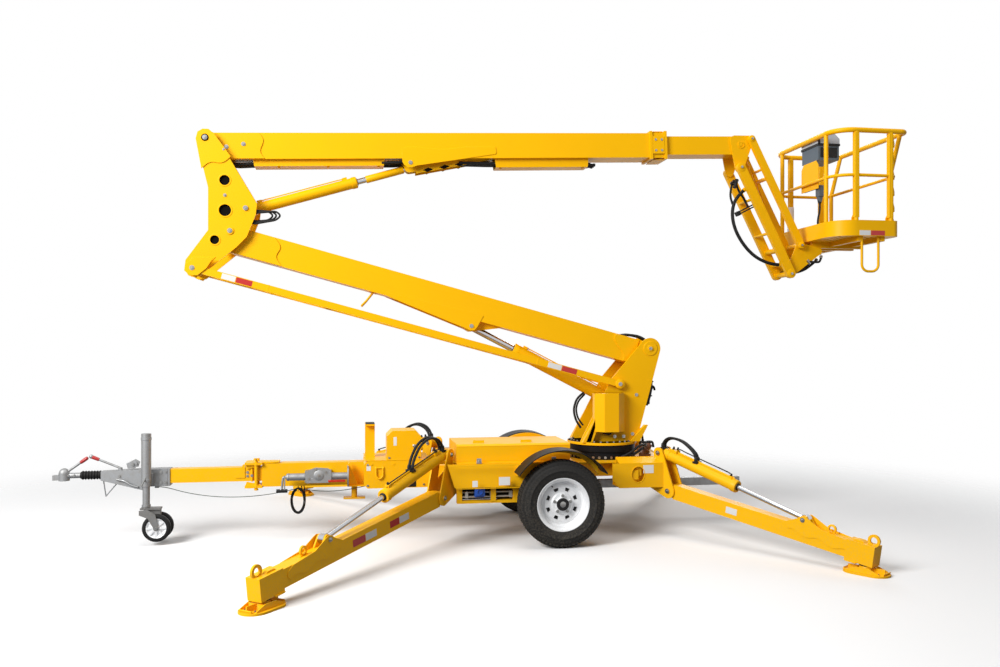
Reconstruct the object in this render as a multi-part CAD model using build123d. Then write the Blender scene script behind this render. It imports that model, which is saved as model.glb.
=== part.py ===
from build123d import *
from math import atan2, cos, degrees, hypot, radians, sin
import os

# Towable articulated boom lift, in millimetres, as it stands with its legs down.
# +X runs from the tow coupling to the basket, +Z is up. The sizes below are given from
# the axle (x = 0) and the ground (z = 0); the export moves all to the middle of the box.

# Road wheels and axle
tyre_d = 688
tyre_w = 205
rim_d = 392
track = 1500
spindle_r = 22
axle_h = 84
run_gap = 0.3
fender_gap = 78
fender_w = 225
fender_t = 6

# Chassis
rail_y = 260
rail_w = 80
rail_h = 120
rail_top = 600
rail_front = -990
rail_rear = 1090
side_y = 500
side_front = 500
side_rear = 985
side_low = 405
side_top = 610
sheet = 8
pan_y = 600
pan_front = -885
pan_rear = 165
pan_low = 457
pan_top = 645
pan_slope = 61

# Hood over the power unit
hood_front = -806
hood_near = 550
hood_far = -5
hood_top = 797
hood_wall = 5
hood_end_gap = 40

# Tow bar
nose_front = -1533
nose_low = 417
nose_top = 644
nose_w = 500
control_in = 187
control_l = 279
control_top = 886
rest_top = 929
tow_w = 120
tow_h = 190
tow_z = 520
tow_l = 828
drawbar_w = 100
drawbar_h = 112
drawbar_z = 529
drawbar_l = 725
housing_l = 534
bellows_l = 160
coupler_l = 125
coupler_z = 545
ball_r = 25
housing_block_l = 214
jockey_in = 164
jockey_y = -138
jockey_top = 885
jockey_tube_r = 38
jockey_stem_r = 28
jockey_wheel_r = 110
jockey_wheel_w = 50
jockey_gap = 62
jockey_trail = 90
jockey_lift = 30
jockey_travel = 160
jockey_tube_low = 465
jockey_stem_top = 550
swivel_gap = 0.3
hook_x = -2070
hook_drop = 40
coil_w = 130
coil_h = 225
coil_t = 26
coil_d = 32
wire_r = 3
jack_y = -150
jack_z = 512
jack_r = 29
jack_x0 = -2150
jack_x1 = -1668

# Outriggers: a leg, its cylinder and the bracket that holds both
leg_w = 100
leg_h = 120
leg_plate_gap = 5
leg_plate_t = 12
leg_pin_r = 18
leg_drop = 238
leg_pivot_z = 378
front_leg_x = -960
front_leg_y = 530
front_heading = 52
front_reach = 1955
front_eye = 1385
front_pin_up = 334
rear_leg_x = 1020
rear_leg_y = 500
rear_heading = 57.7
rear_reach = 1667
rear_eye = 1209
rear_pin_up = 309
cyl_pin_in = 100
leg_barrel_r = 45
leg_rod_r = 20
leg_rod_hold = 250
foot_l = 326
foot_w = 190
foot_t = 14
ring_up = 42
eye_r = 34

# Turntable and mast
slew_x = 550
slew_r = 285
slew_h = 123
deck_t = 12
slew_gap = 0.5
base_t = 22
plate_in = 155
plate_t = 15
mast_dx = 390
mast_up = 827.5
link_dx = -285
link_dz = -307
boom_pin_r = 30
pin_play = 0.3

# Lower boom
lower_dx = -3542
lower_dz = 953
boom_w = 220
lower_up = 52
lower_down = 165
boom_wall = 8
hub_r = 60
link_w = 35
link_h = 55
link_side = 5
lower_eye_dx = -1568
lower_eye_dz = 191
lower_base_dx = -320
lower_base_dz = -453
lower_barrel_r = 55
lower_barrel_l = 975
lower_rod_r = 30
lower_draw = 140
lower_root = 10

# Elbow and upper boom
elbow_dx = -192
elbow_dz = 744
luff_base_dx = 122
luff_base_dz = 186
luff_eye_dx = 1644
luff_eye_dz = -160
luff_barrel_r = 45
luff_barrel_l = 930
luff_rod_r = 24
luff_draw = 60
upper_slope = 2.2
upper_up = 54
upper_down = 160
upper_l = 3905
stroke = 2600
collar_l = 156
inner_w = 190
inner_up = 29
inner_down = 133
inner_start = 1000
inner_out = 655
pad_gap = 0.4

# Jib and basket
head_pin_out = 691
head_pin_z = -42
head_in = 99
head_t = 12
jib_pin_dx = -6
jib_pin_dz = -216
jib_dx = 477
jib_dz = -943
jib_link_dx = 99
jib_link_dz = 258
arm_w = 40
arm_h = 80
jlink_h = 60
arm_side = 5
jib_pin_r = 16
jib_base_dx = 85
jib_base_dz = 95
jib_eye_dx = 421
jib_eye_dz = -716
jib_barrel_r = 30
jib_rod_r = 14
jib_barrel_l = 560
jib_barrel_w = 60
jib_draw = 255
jib_hose_r = 15
jib_hose_in = 80
beam_h = 55
seat_gap = 0.3
basket_set = 75
basket_up = 38
basket_l = 600
basket_w = 1200
floor_t = 30
toe_h = 135
mid_rail_h = 525
top_rail_h = 912
top_rail_over = 100
step_h = 301
step_in = 270
step_r = 60
step_w = 155
corner_r = 200
tube_r = 19
top_tube_r = 22

axle_z = tyre_d / 2
deck_z = rail_top + deck_t
slew_top = deck_z + slew_h
base_z = slew_top + slew_gap
P1 = (slew_x + mast_dx, base_z + mast_up)
tow_front = nose_front - tow_l
drawbar_front = tow_front - drawbar_l
housing_front = drawbar_front - housing_l
bellows_front = housing_front - bellows_l
coupler_x = bellows_front - coupler_l
jockey_x = drawbar_front - jockey_in
E1 = (P1[0] + lower_dx, P1[1] + lower_dz)
P2 = (P1[0] + link_dx, P1[1] + link_dz)
lower_eye = (P1[0] + lower_eye_dx, P1[1] + lower_eye_dz)
lower_base = (P1[0] + lower_base_dx, P1[1] + lower_base_dz)
U1 = (E1[0] + elbow_dx, E1[1] + elbow_dz)
luff_base = (E1[0] + luff_base_dx, E1[1] + luff_base_dz)
luff_eye = (U1[0] + luff_eye_dx, U1[1] + luff_eye_dz)
E2 = (E1[0] + link_dx, E1[1] + link_dz)
up_a = radians(upper_slope)
inner_end = upper_l + inner_out
head_pin_x = upper_l + head_pin_out
H = (U1[0] + head_pin_x * cos(up_a) - head_pin_z * sin(up_a), U1[1] + head_pin_x * sin(up_a) + head_pin_z * cos(up_a))
J1 = (H[0] + jib_pin_dx, H[1] + jib_pin_dz)
jib_base = (J1[0] + jib_base_dx, J1[1] + jib_base_dz)
jib_eye = (J1[0] + jib_eye_dx, J1[1] + jib_eye_dz)
J2 = (J1[0] + jib_dx, J1[1] + jib_dz)
K1 = (J1[0] + jib_link_dx, J1[1] + jib_link_dz)
K2 = (J2[0] + jib_link_dx, J2[1] + jib_link_dz)
basket_x0 = K2[0] + basket_set
basket_x1 = basket_x0 + basket_l
basket_low = K2[1] + basket_up
toe_top = basket_low + toe_h
mid_rail_z = basket_low + mid_rail_h
top_rail_z = basket_low + top_rail_h

# Each leg: name, pivot x, pivot y, side, heading from +X, reach to the foot, eye distance,
# pivot height and height of the cylinder pin over it
leg_table = []
for side, hand in ((-1, "left"), (1, "right")):
    leg_table.append(("front_" + hand, front_leg_x, front_leg_y, side, 180 - front_heading, front_reach, front_eye, leg_pivot_z, front_pin_up))
    leg_table.append(("rear_" + hand, rear_leg_x, rear_leg_y, side, rear_heading, rear_reach, rear_eye, leg_pivot_z, rear_pin_up))

parts = {}


def side_face(points):
    return make_face(Polyline(*[(x, 0, z) for x, z in points], close=True))


def slab(face, y0, y1):
    return Pos(0, y0, 0) * extrude(face, amount=abs(y1 - y0), dir=(0, 1 if y1 > y0 else -1, 0))


def plate(points, y0, y1):
    return slab(side_face(points), y0, y1)


def lobes(discs):
    # the straight-sided outline that wraps a few discs given as (x, z, radius)
    flat = [Edge.make_circle(r, Plane((x, z, 0))) for x, z, r in discs]
    return Plane((0, 0, 0), x_dir=(1, 0, 0), z_dir=(0, -1, 0)) * make_hull(flat)


def lobe_plate(discs, y0, y1):
    return slab(lobes(discs), y0, y1)


def pin(x, z, r, y0, y1):
    low, high = min(y0, y1), max(y0, y1)
    return Pos(x, (low + high) / 2, z) * Rot(90, 0, 0) * Cylinder(r, high - low)


def rod(a, b, r):
    a, b = Vector(*a), Vector(*b)
    return Solid.make_cylinder(r, (b - a).length, Plane(a, z_dir=b - a))


def block(x0, x1, y0, y1, z0, z1):
    size = (x1 - x0, y1 - y0, z1 - z0)
    return Pos((x0 + x1) / 2, (y0 + y1) / 2, (z0 + z1) / 2) * Box(*size)


def turn_to(a, b):
    # location at a with its x axis along a to b, both (x, z) in the side view
    return Pos(a[0], 0, a[1]) * Rot(0, -degrees(atan2(b[1] - a[1], b[0] - a[0])), 0)


def both(shape):
    return shape + mirror(shape, about=Plane.XZ)


def box_tube(x0, x1, half_w, z0, z1, wall):
    outer = block(x0, x1, -half_w, half_w, z0, z1)
    return outer - block(x0 - 1, x1 + 1, -half_w + wall, half_w - wall, z0 + wall, z1 - wall)


# Road wheel, built about the y axis: tyre and steel rim with eight windows
def road_tyre():
    r1, r0, w = tyre_d / 2, rim_d / 2 + run_gap, tyre_w / 2
    points = [(r0, -w * 0.72), (r0 + 25, -w * 0.9), (r1 - 62, -w), (r1 - 24, -w * 0.93), (r1 - 6, -w * 0.8),
              (r1, -w * 0.55), (r1, w * 0.55), (r1 - 6, w * 0.8), (r1 - 24, w * 0.93), (r1 - 62, w),
              (r0 + 25, w * 0.9), (r0, w * 0.72)]
    face = make_face(Polyline(*[(r, y, 0) for r, y in points], close=True))
    return revolve(face, axis=Axis.Y)


def road_rim():
    # the outer face looks along -y
    r, w = rim_d / 2, tyre_w / 2
    bore = spindle_r + run_gap
    outer = [(r, -w * 0.725), (r + 14, -w * 0.83), (r + 14, -w * 0.90), (r - 6, -w * 0.81), (r - 16, -w * 0.55),
             (r - 18, -28), (r - 34, -20), (r - 60, -34), (90, -30), (78, -42), (55, -42), (50, -62), (24, -64),
             (24, -56), (bore, -50), (bore, 20), (60, 20), (60, -20), (100, -12), (r - 40, -8), (r - 24, 0),
             (r - 16, 20), (r - 16, w * 0.7), (r, w * 0.72)]
    face = make_face(Polyline(*[(a, b, 0) for a, b in outer], close=True))
    rim = revolve(face, axis=Axis.Y)
    window = plate([(-15, 102), (15, 102), (21, 130), (-21, 130)], -60, 40)
    for k in range(8):
        rim -= Rot(0, 22.5 + 45 * k, 0) * window
    cap = pin(0, 0, 24 - run_gap, -72, -57)
    for k in range(5):
        a = radians(72 * k + 18)
        rim += pin(67 * cos(a), 67 * sin(a), 10, -56, -38)
    return rim + pin(0, 0, 50, -68, -60) - pin(0, 0, 30, -80, -66)


for side, name in ((-1, "left"), (1, "right")):
    turn = Pos(0, side * track / 2, axle_z) * Rot(0, 0, 0 if side < 0 else 180)
    parts["tyre_" + name] = turn * road_tyre()
    parts["rim_" + name] = turn * road_rim()

# Axle: cross tube on the rails, swing arms and spindles
arm_y = pan_y + 6
beam_z = pan_low - 1
axle = block(-190, -100, -arm_y + 40, arm_y - 40, beam_z - axle_h, beam_z)
axle += both(block(-190, -100, -rail_y - rail_w / 2 + 5, -rail_y + rail_w / 2 - 5, beam_z - 1, rail_top - rail_h))
arm_z = beam_z - axle_h / 2
axle += both(lobe_plate([(-145, arm_z, axle_h / 2 - 1), (0, axle_z, 38)], -arm_y - 20, -arm_y + 40))
axle += both(pin(0, axle_z, spindle_r, -arm_y - 10, -track / 2 + 20))
rear_tube = block(-150, 1830, -30, 30, 335, 335 + 70)
parts["axle"] = axle + rear_tube + block(-100, -40, -30, 30, 400, 480) + block(1030, 1085, -30, 30, 400, 480)

# Fenders and the arch plates that carry them
fender_r = tyre_d / 2 + fender_gap
fender_y0 = track / 2 - fender_w / 2


def fender(r0, r1, y0, y1, half):
    ring = pin(0, axle_z, r1, y0, y1) - pin(0, axle_z, r0, y0 - 1, y1 + 1)
    return ring & block(-half, half, min(y0, y1) - 2, max(y0, y1) + 2, axle_z + 120, axle_z + r1 + 5)


fenders = fender(fender_r, fender_r + fender_t, -fender_y0 - fender_w, -fender_y0, 352)
parts["fenders"] = both(fenders)
arch = fender(fender_r - 34, fender_r, -fender_y0 - 20, -pan_y, 330)

# Chassis frame: rails, cross members, rear side beams, deck and leg brackets
frame = both(block(rail_front, rail_rear, -rail_y - rail_w / 2, -rail_y + rail_w / 2, rail_top - rail_h, rail_top))
cross_y = rail_y - rail_w / 2 + 1
for x0, x1 in ((rail_front, rail_front + 80), (-190, -40), (rail_rear - 80, rail_rear)):
    frame += block(x0, x1, -cross_y, cross_y, rail_top - rail_h, rail_top)
frame += block(slew_x - slew_r - 30, rail_rear, -side_y + 120, side_y - 120, rail_top, deck_z)
beam_in = rail_y + rail_w / 2 - 1
skin = plate([(side_front, side_low + 70), (side_front + 60, side_low), (side_rear, side_low),
              (side_rear, side_top), (side_front, side_top)], -side_y, -side_y + sheet)
hole = Pos(side_front + 220, -side_y, (side_low + side_top) / 2 + 8) * Rot(90, 0, 0) * extrude(Ellipse(55, 64), amount=30, both=True)
skin -= hole
slope = Pos(side_front + 60, 0, 0) * extrude(
    make_face(Polyline((0, -side_y, side_top), (0, -side_y + 120, side_top + 40), (0, -side_y + 120, side_top + 40 - sheet),
                       (0, -side_y, side_top - sheet), close=True)), amount=side_rear - side_front - 60, dir=(1, 0, 0))
inner_lip = block(side_front + 60, side_rear, -side_y + 120 - sheet, -side_y + 120, rail_top, side_top + 40)
floor_lip = block(side_front + 60, side_rear, -side_y, -beam_in + 10, side_low, side_low + sheet)
web_lip = block(side_front + 60, side_rear, -beam_in - sheet, -beam_in + 1, side_low, rail_top)
frame += both(skin + slope + inner_lip + floor_lip + web_lip)


def leg_place(row):
    name, x, y, side, heading, reach, eye, z, up = row
    return Pos(x, side * y, 0) * Rot(0, 0, side * heading)


plate_y = leg_w / 2 + leg_plate_gap


def leg_bracket(row):
    name, x, y, side, heading, reach, eye, z, up = row
    inward = -cyl_pin_in
    cheek = lobe_plate([(0, z, 62), (inward, z + up, 46)], plate_y, plate_y + leg_plate_t)
    cheek += lobe_plate([(0, z, 62), (inward - 130, rail_top - 40, 25), (inward - 130, z + 60, 30)], plate_y, plate_y + leg_plate_t)
    cheek = both(cheek)
    back = block(inward - 175, inward - 150, -plate_y - leg_plate_t, plate_y + leg_plate_t, z + 60, rail_top + 20)
    pins = pin(0, z, leg_pin_r, -plate_y - leg_plate_t - 8, plate_y + leg_plate_t + 8)
    pins += pin(inward, z + up, leg_pin_r, -plate_y - leg_plate_t - 8, plate_y + leg_plate_t + 8)
    return leg_place(row) * (cheek + back + pins)


for row in leg_table:
    frame -= leg_place(row) * block(-150, 140, -plate_y, plate_y, row[7] - 90, row[7] + row[8] + 90)
for row in leg_table:
    frame += leg_bracket(row)
parts["chassis_frame"] = frame

# Body pans beside the rails, with the arch plates; the near one is open under the hood
pan_out = plate([(pan_front, pan_top), (pan_front + pan_slope, pan_low), (pan_rear, pan_low), (pan_rear, pan_top)],
                -pan_y, -beam_in - 1)
pan_hollow = plate([(pan_front + 12, pan_top + 5), (pan_front + pan_slope + 8, pan_low + 6),
                    (pan_rear - 8, pan_low + 6), (pan_rear - 8, pan_top + 5)], -pan_y + 8, -beam_in - 9)
pan = pan_out - pan_hollow + arch - block(pan_front + 14, pan_rear - 10, -beam_in - 12, -beam_in + 1, rail_top + 5, pan_top + 5)
clear_leg = leg_place(leg_table[0]) * block(-400, 120, -plate_y - 40, plate_y + 40, 200, 900)
pan = pan - clear_leg
far_pan = mirror(pan + block(pan_front + 60, pan_rear - 4, -pan_y + 4, -beam_in - 5, pan_top - 6, pan_top) - clear_leg, about=Plane.XZ)
parts["body_pan_far"] = far_pan

# Rack below the near pan with the mains inlet in it
rack = block(-800, -760, -540, -480, 330, pan_low) + block(-345, -300, -540, -480, 330, pan_low)
rack += block(-800, -300, -540, -480, 322, 344)
end_strip = block(pan_rear - hood_end_gap - 4, pan_rear - 4, -pan_y + 4, -beam_in - 5, pan_top - 6, pan_top)
parts["body_pan"] = pan + rack + end_strip
inlet = block(-660, -585, -560, -500, 374, pan_low) + Pos(-622, -560, 418) * Rot(90, 0, 0) * Cylinder(24, 24)
parts["power_inlet"] = inlet

# Hood with a folded top, hinged along its inner edge
hood_low = pan_top + run_gap
hood_rear = pan_rear - hood_end_gap
hood = block(hood_front, hood_rear, -hood_near, hood_far, hood_low, hood_top)
hood = chamfer(hood.edges().filter_by(Axis.X).sort_by(Axis.Z)[-2:], 14)
hood -= block(hood_front + hood_wall, hood_rear - hood_wall, -hood_near + hood_wall, hood_far - hood_wall, pan_top - 5,
              hood_top - hood_wall - 8)
lip = block(pan_front + 78, hood_rear, -pan_y + 2, -hood_near + 4, hood_low, hood_low + 4)
hood += lip
hood += Pos(hood_front + 150, -420, hood_top) * block(0, 90, -8, 8, -2, 18) + Pos(-260, -420, hood_top) * block(0, 90, -8, 8, -2, 18)
parts["hood"] = hood
hinge_z = pan_top - 12
power = block(hood_front + 40, hood_rear - 40, -hood_near + 30, -beam_in - 12, pan_low + 8, hood_top - 60)
power = power - leg_place(leg_table[0]) * block(-420, 140, -plate_y - 40, plate_y + 40, 200, 900)
seat = block(hood_front + 60, hood_rear - 40, -rail_y - rail_w / 2 + 2, hood_far - 30, rail_top, rail_top + 20)
seat += block(-190, -40, -rail_y, hood_far - 30, rail_top, rail_top + 30)
power += block(hood_front + 90, hood_rear - 60, -beam_in - 14, hood_far - 60, rail_top + 19.9, hood_top - 70)
parts["power_unit"] = power + seat
hinge_rail = block(hood_front + 30, pan_rear - 30, hood_far + 3, hood_far + 15, rail_top, pan_top - 2)
for x in (hood_front + 60, pan_rear - 160):
    hinge_rail += rod((x, hood_far + 9, pan_top + 2), (x + 100, hood_far + 9, pan_top + 2), 6)
parts["chassis_frame"] = frame + hinge_rail + block(rail_front + 30, pan_rear, hood_far + 3, hood_far + 40, rail_top - 12, rail_top + 1)

# Nose box with the boom rest and the ground control box on it
nose = block(nose_front, rail_front - 0.1, -nose_w / 2, nose_w / 2, nose_low, nose_top)
nose = chamfer(nose.edges().filter_by(Axis.Y).sort_by(Axis.X)[:2], 30)
nose += block(nose_front + 12, nose_front + 93, -40, 40, nose_top - 1, rest_top)
nose += block(nose_front + 12, nose_front + 93, -95, 95, rest_top - 12, rest_top)
parts["nose_box"] = nose
control_x0 = nose_front + control_in
control = block(control_x0, control_x0 + control_l, -nose_w / 2, 20, nose_top, control_top)
control = chamfer(control.edges().filter_by(Axis.Y).sort_by(Axis.Z)[-2:], 45)
parts["control_box"] = control

# Tow beam, hinge, drawbar
tow = block(tow_front, nose_front, -tow_w / 2, tow_w / 2, tow_z - tow_h / 2, tow_z + tow_h / 2)
knuckle_x = tow_front - 45
knuckle = block(knuckle_x - 90, tow_front + 5, -tow_w / 2 - 30, tow_w / 2 + 30, tow_z + tow_h / 2 - 6, tow_z + tow_h / 2 + 12)
knuckle += block(knuckle_x - 90, tow_front + 5, -tow_w / 2 - 30, tow_w / 2 + 30, tow_z - tow_h / 2 - 6, tow_z - tow_h / 2 + 12)
for y in (-tow_w / 2 - 12, tow_w / 2 + 12):
    knuckle += rod((knuckle_x, y, tow_z - tow_h / 2 - 20), (knuckle_x, y, tow_z + tow_h / 2 + 30), 14)
foot = block(nose_front - 167, nose_front + 13, -45, 45, 300, 312) + rod((nose_front - 77, 0, 311), (nose_front - 77, 0, tow_z - tow_h / 2 + 1), 24)
parts["tow_beam"] = tow + knuckle + foot
draw = block(drawbar_front, tow_front, -drawbar_w / 2, drawbar_w / 2, drawbar_z - drawbar_h / 2, drawbar_z + drawbar_h / 2)
parts["drawbar"] = draw

# Overrun coupler: housing, bellows, ball head and handles
def yz_rect(x, w, h, z):
    return Plane((x, 0, z), x_dir=(0, 1, 0), z_dir=(1, 0, 0)) * Rectangle(w, h)


block_x = drawbar_front - housing_block_l
housing = loft([yz_rect(housing_front, 74, 72, coupler_z - 5), yz_rect(block_x, 120, 165, coupler_z - 40)])
housing += block(block_x, drawbar_front, -60, 60, coupler_z - 95, coupler_z + 43)
clamp_y = jockey_y + jockey_tube_r
housing += block(jockey_x - 45, jockey_x + 45, clamp_y - 8, -55, 470, 560)
housing -= Pos(jockey_x, jockey_y, 500) * Cylinder(jockey_tube_r, 400)
guard_x, guard_z = housing_front + 31, coupler_z - 172
guard = rod((housing_front + 10, 0, coupler_z - 35), (guard_x, 0, guard_z), 5) + rod((guard_x, 0, guard_z), (guard_x + 89, 0, coupler_z - 65), 5)
housing += guard + Pos(guard_x, 0, guard_z) * Sphere(5)
parts["coupler_housing"] = housing
folds = []
n = 7
for k in range(n):
    x = bellows_front + (housing_front - bellows_front) * k / n
    folds += [(x, 28), (x + (housing_front - bellows_front) / n / 2, 36)]
folds += [(housing_front, 28)]
bell = [(bellows_front, 0)] + folds + [(housing_front, 0)]
parts["coupler_bellows"] = Pos(0, 0, coupler_z) * revolve(
    make_face(Polyline(*[(x, 0, r) for x, r in bell], close=True)), axis=Axis.X)
head = rod((coupler_x, 0, coupler_z), (bellows_front, 0, coupler_z), 22)
head += Pos(coupler_x, 0, coupler_z - 10) * Cylinder(42, 60)
head += Pos(coupler_x, 0, coupler_z + 20) * Sphere(40)
head += block(coupler_x - 84, coupler_x, -22, 22, coupler_z - 35, coupler_z + 5)
head -= Pos(coupler_x, 0, coupler_z - 10) * Sphere(ball_r + 0.5)
head -= Pos(coupler_x, 0, coupler_z - 45) * Cylinder(ball_r + 0.5, 70)
handle = rod((coupler_x + 30, 0, coupler_z + 35), (coupler_x + 175, 0, coupler_z + 140), 10)
lever_x, lever_z = housing_front + 140, coupler_z + 55
lever = rod((lever_x + 10, 0, coupler_z + 15), (lever_x, 0, lever_z), 16) + rod((lever_x, 0, lever_z - 2), (lever_x - 220, 0, lever_z + 94), 9)
lever = lever + Pos(lever_x - 220, 0, lever_z + 94) * Sphere(17) - housing
parts["coupler_head"] = head + handle + lever

# Jockey wheel: clamped tube, swivelling fork and twin wheels
wheel_z = jockey_wheel_r + jockey_lift
stem_low = wheel_z + jockey_wheel_r + 45
jockey_bore = jockey_top - jockey_tube_low - 45
jockey_tube = Pos(jockey_x, jockey_y, (jockey_top + jockey_tube_low) / 2) \
    * Cylinder(jockey_tube_r, jockey_top - jockey_tube_low) \
    - Pos(jockey_x, jockey_y, jockey_tube_low + jockey_bore / 2) * Cylinder(jockey_stem_r + run_gap, jockey_bore + 0.02)
parts["coupler_housing"] += jockey_tube
parts["jockey_stem"] = Pos(jockey_x, jockey_y, (stem_low + jockey_stem_top) / 2 + swivel_gap / 2) \
    * Cylinder(jockey_stem_r, jockey_stem_top - stem_low - swivel_gap)
fork = Pos(jockey_x, jockey_y, stem_low - 7) * Cylinder(jockey_stem_r + 8, 14)
wheel_x = jockey_x + jockey_trail
fork += block(jockey_x - 40, wheel_x + 25, jockey_y - 40, jockey_y + 40, stem_low - 14, stem_low)
fork_t = jockey_gap / 2 - 6
fork += Pos(0, jockey_y, 0) * lobe_plate([(wheel_x, wheel_z, 22), (wheel_x, stem_low - 20, 22), (jockey_x, stem_low - 15, 14)],
                                         -fork_t, fork_t)
fork += pin(wheel_x, wheel_z, 10, jockey_y - jockey_gap / 2 - jockey_wheel_w - 5, jockey_y + jockey_gap / 2 + jockey_wheel_w + 5)
parts["jockey_fork"] = fork


def jockey_wheel(y0):
    r, w = jockey_wheel_r, jockey_wheel_w
    points = [(10 + run_gap, 0), (60, 4), (75, 0), (r - 12, 0), (r, 12), (r, w - 12), (r - 12, w), (75, w), (60, w - 4),
              (10 + run_gap, w)]
    ring = revolve(make_face(Polyline(*[(a, b, 0) for a, b in points], close=True)), axis=Axis.Y)
    return Pos(wheel_x, y0, wheel_z) * ring


parts["jockey_wheels"] = jockey_wheel(jockey_y + jockey_gap / 2) + jockey_wheel(jockey_y - jockey_gap / 2 - jockey_wheel_w)

# Tongue jack, stowed along the tow beam
jack = rod((jack_x0, jack_y, jack_z), (jack_x1, jack_y, jack_z), jack_r)
jack += rod((jack_x1, jack_y, jack_z), (jack_x1 + 12, jack_y, jack_z), 88)
jack += block(-2010, -1800, jack_y - 20, -tow_w / 2, jack_z - 45, jack_z + 45)
jack += rod((jack_x0 - 18, jack_y, jack_z), (jack_x0, jack_y, jack_z), 12)
jack += block(jack_x0 - 28, jack_x0 - 18, jack_y - 10, jack_y + 10, jack_z - 120, jack_z + 12)
jack += rod((jack_x0 - 90, jack_y, jack_z - 112), (jack_x0 - 18, jack_y, jack_z - 112), 14)
parts["tongue_jack"] = jack


# Cables and hoses that hang free: straight runs joined by arcs as large as the runs allow
def cord_tube(name, points, r):
    points = [Vector(*p) for p in points]
    radii = []
    for a, b, c in zip(points, points[1:], points[2:]):
        half = radians((b - a).get_angle(c - b) / 2)
        radii.append(0.45 * min((b - a).length, (c - b).length) / (sin(half) / cos(half)))
    path = FilletPolyline(*points, radius=radii)
    tube = sweep(Plane(path @ 0, z_dir=path % 0) * Circle(r), path=path)
    print(name, "radii", [round(v) for v in radii], "length", round(path.length),
          "volume over section", round(tube.volume / (3.14159 * r * r * path.length), 4))
    return tube


# Hook below the tow beam with the coiled supply cable, and the wire that passes over it
beam_low = tow_z - tow_h / 2
hook_z = beam_low - hook_drop
hook = rod((hook_x, -50, beam_low + 2), (hook_x, -50, hook_z), 5) + rod((hook_x, -28, hook_z), (hook_x, -94, hook_z), 5)
hook += rod((hook_x, -94, hook_z), (hook_x, -94, hook_z + 18), 5) + Pos(hook_x, -94, hook_z) * Sphere(5)
gland_z = nose_low - 10
nose_gland = rod((nose_front + 55, -34, gland_z), (nose_front + 85, -34, gland_z), 9) + block(nose_front + 62, nose_front + 80, -40, -28, gland_z, nose_low + 2)
block_low = coupler_z - 95
tail_gland = rod((block_x + 95, -34, block_low - 8), (block_x + 125, -34, block_low - 8), 9) \
    + block(block_x + 102, block_x + 118, -40, -28, block_low - 8, block_low + 2)
parts["tow_beam"] += hook
parts["nose_box"] += nose_gland
parts["coupler_housing"] += tail_gland
coil_top = hook_z + 5 + run_gap + coil_t
coil_mid = (hook_x, coil_top - coil_h / 2)
ring = lobes([(coil_mid[0], coil_top - coil_w / 2, coil_w / 2), (coil_mid[0], coil_top - coil_h + coil_w / 2, coil_w / 2)])
ring_in = lobes([(coil_mid[0], coil_top - coil_w / 2, coil_w / 2 - coil_t), (coil_mid[0], coil_top - coil_h + coil_w / 2, coil_w / 2 - coil_t)])
parts["cable_coil"] = slab(ring, -56 - coil_d, -56) - slab(ring_in, -58 - coil_d, -54)
wire_x0, wire_x1 = block_x + 125.5, nose_front + 54.5
over = hook_z + 5 + 4 + wire_r
wire_sag = 76
wire_a = [(0, 0), (0.035, 0.016), (0.08, 0.14), (0.13, 0.34), (0.19, 0.55), (0.26, 0.74), (0.33, 0.87), (0.40, 0.96), (0.47, 1.0),
          (0.54, 0.995), (0.61, 0.95), (0.68, 0.87), (0.75, 0.75), (0.815, 0.60), (0.875, 0.43), (0.93, 0.25), (0.975, 0.09)]
wire_b = [(0.09, 0.3), (0.20, 0.72), (0.33, 1.0), (0.48, 1.06), (0.62, 0.92), (0.75, 0.62), (0.86, 0.27), (0.94, 0.02), (1, 0)]
tail_z = block_low - 8
wire = [(wire_x0 + t * (hook_x - 20 - wire_x0), -34, tail_z + (over - tail_z) * t - d * wire_sag) for t, d in wire_a]
wire += [(hook_x - 22, -34, over), (hook_x + 20, -34, over)]
wire += [(hook_x + 20 + t * (wire_x1 - hook_x - 20), -34, over + (gland_z - over) * t - d * 30) for t, d in wire_b]
parts["brake_wire"] = cord_tube("brake_wire", wire, wire_r)


# Outrigger legs and cylinders, each in its own upright plane
def leg_solid(row):
    name, x, y, side, heading, reach, eye, z, up = row
    slope_z = z - leg_drop
    start, end = (0, z), (reach, slope_z)
    length = hypot(reach, leg_drop)
    place = turn_to(start, end)
    body = place * box_tube(45, length - 40, leg_w / 2, -leg_h / 2, leg_h / 2, 8)
    hub = pin(0, z, 50, -leg_w / 2, leg_w / 2) + place * block(0, 46, -leg_w / 2, leg_w / 2, -leg_h / 2 + 8, leg_h / 2 - 8)
    cap = place * block(length - 130, length + 75, -leg_w / 2 - 6, leg_w / 2 + 6, -leg_h / 2 - 12, leg_h / 2 + 12)
    base = foot_t / 2
    sole = Pos(reach, 0, base) * extrude(
        make_hull([Edge.make_circle(foot_w / 2, Plane((k * (foot_l - foot_w) / 2, 0, 0))) for k in (-1, 1)]), amount=foot_t / 2, both=True)
    ball = Pos(reach, 0, foot_t + 18) * Cylinder(44, 44) + rod((reach, 0, foot_t), (reach, 0, slope_z), 30)
    ribs = block(reach - foot_l / 2 + 30, reach + foot_l / 2 - 30, -5, 5, foot_t - 1, foot_t + 34)
    eye_z = z + (eye / reach) * -leg_drop
    lug_h = leg_h / 2 + 46
    lug = place * (lobe_plate([(eye, lug_h, 30), (eye - 60, leg_h / 2, 12), (eye + 60, leg_h / 2, 12)], 24, 36))
    ring_z = leg_h / 2 + ring_up
    ring = place * (pin(length + 40, ring_z, 44, -8, 8) - pin(length + 40, ring_z, 25, -20, 20))
    whole = body + hub + cap + sole + ball + ribs + both(lug) + ring
    whole -= pin(0, z, leg_pin_r + pin_play, -200, 200)
    return whole


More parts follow.
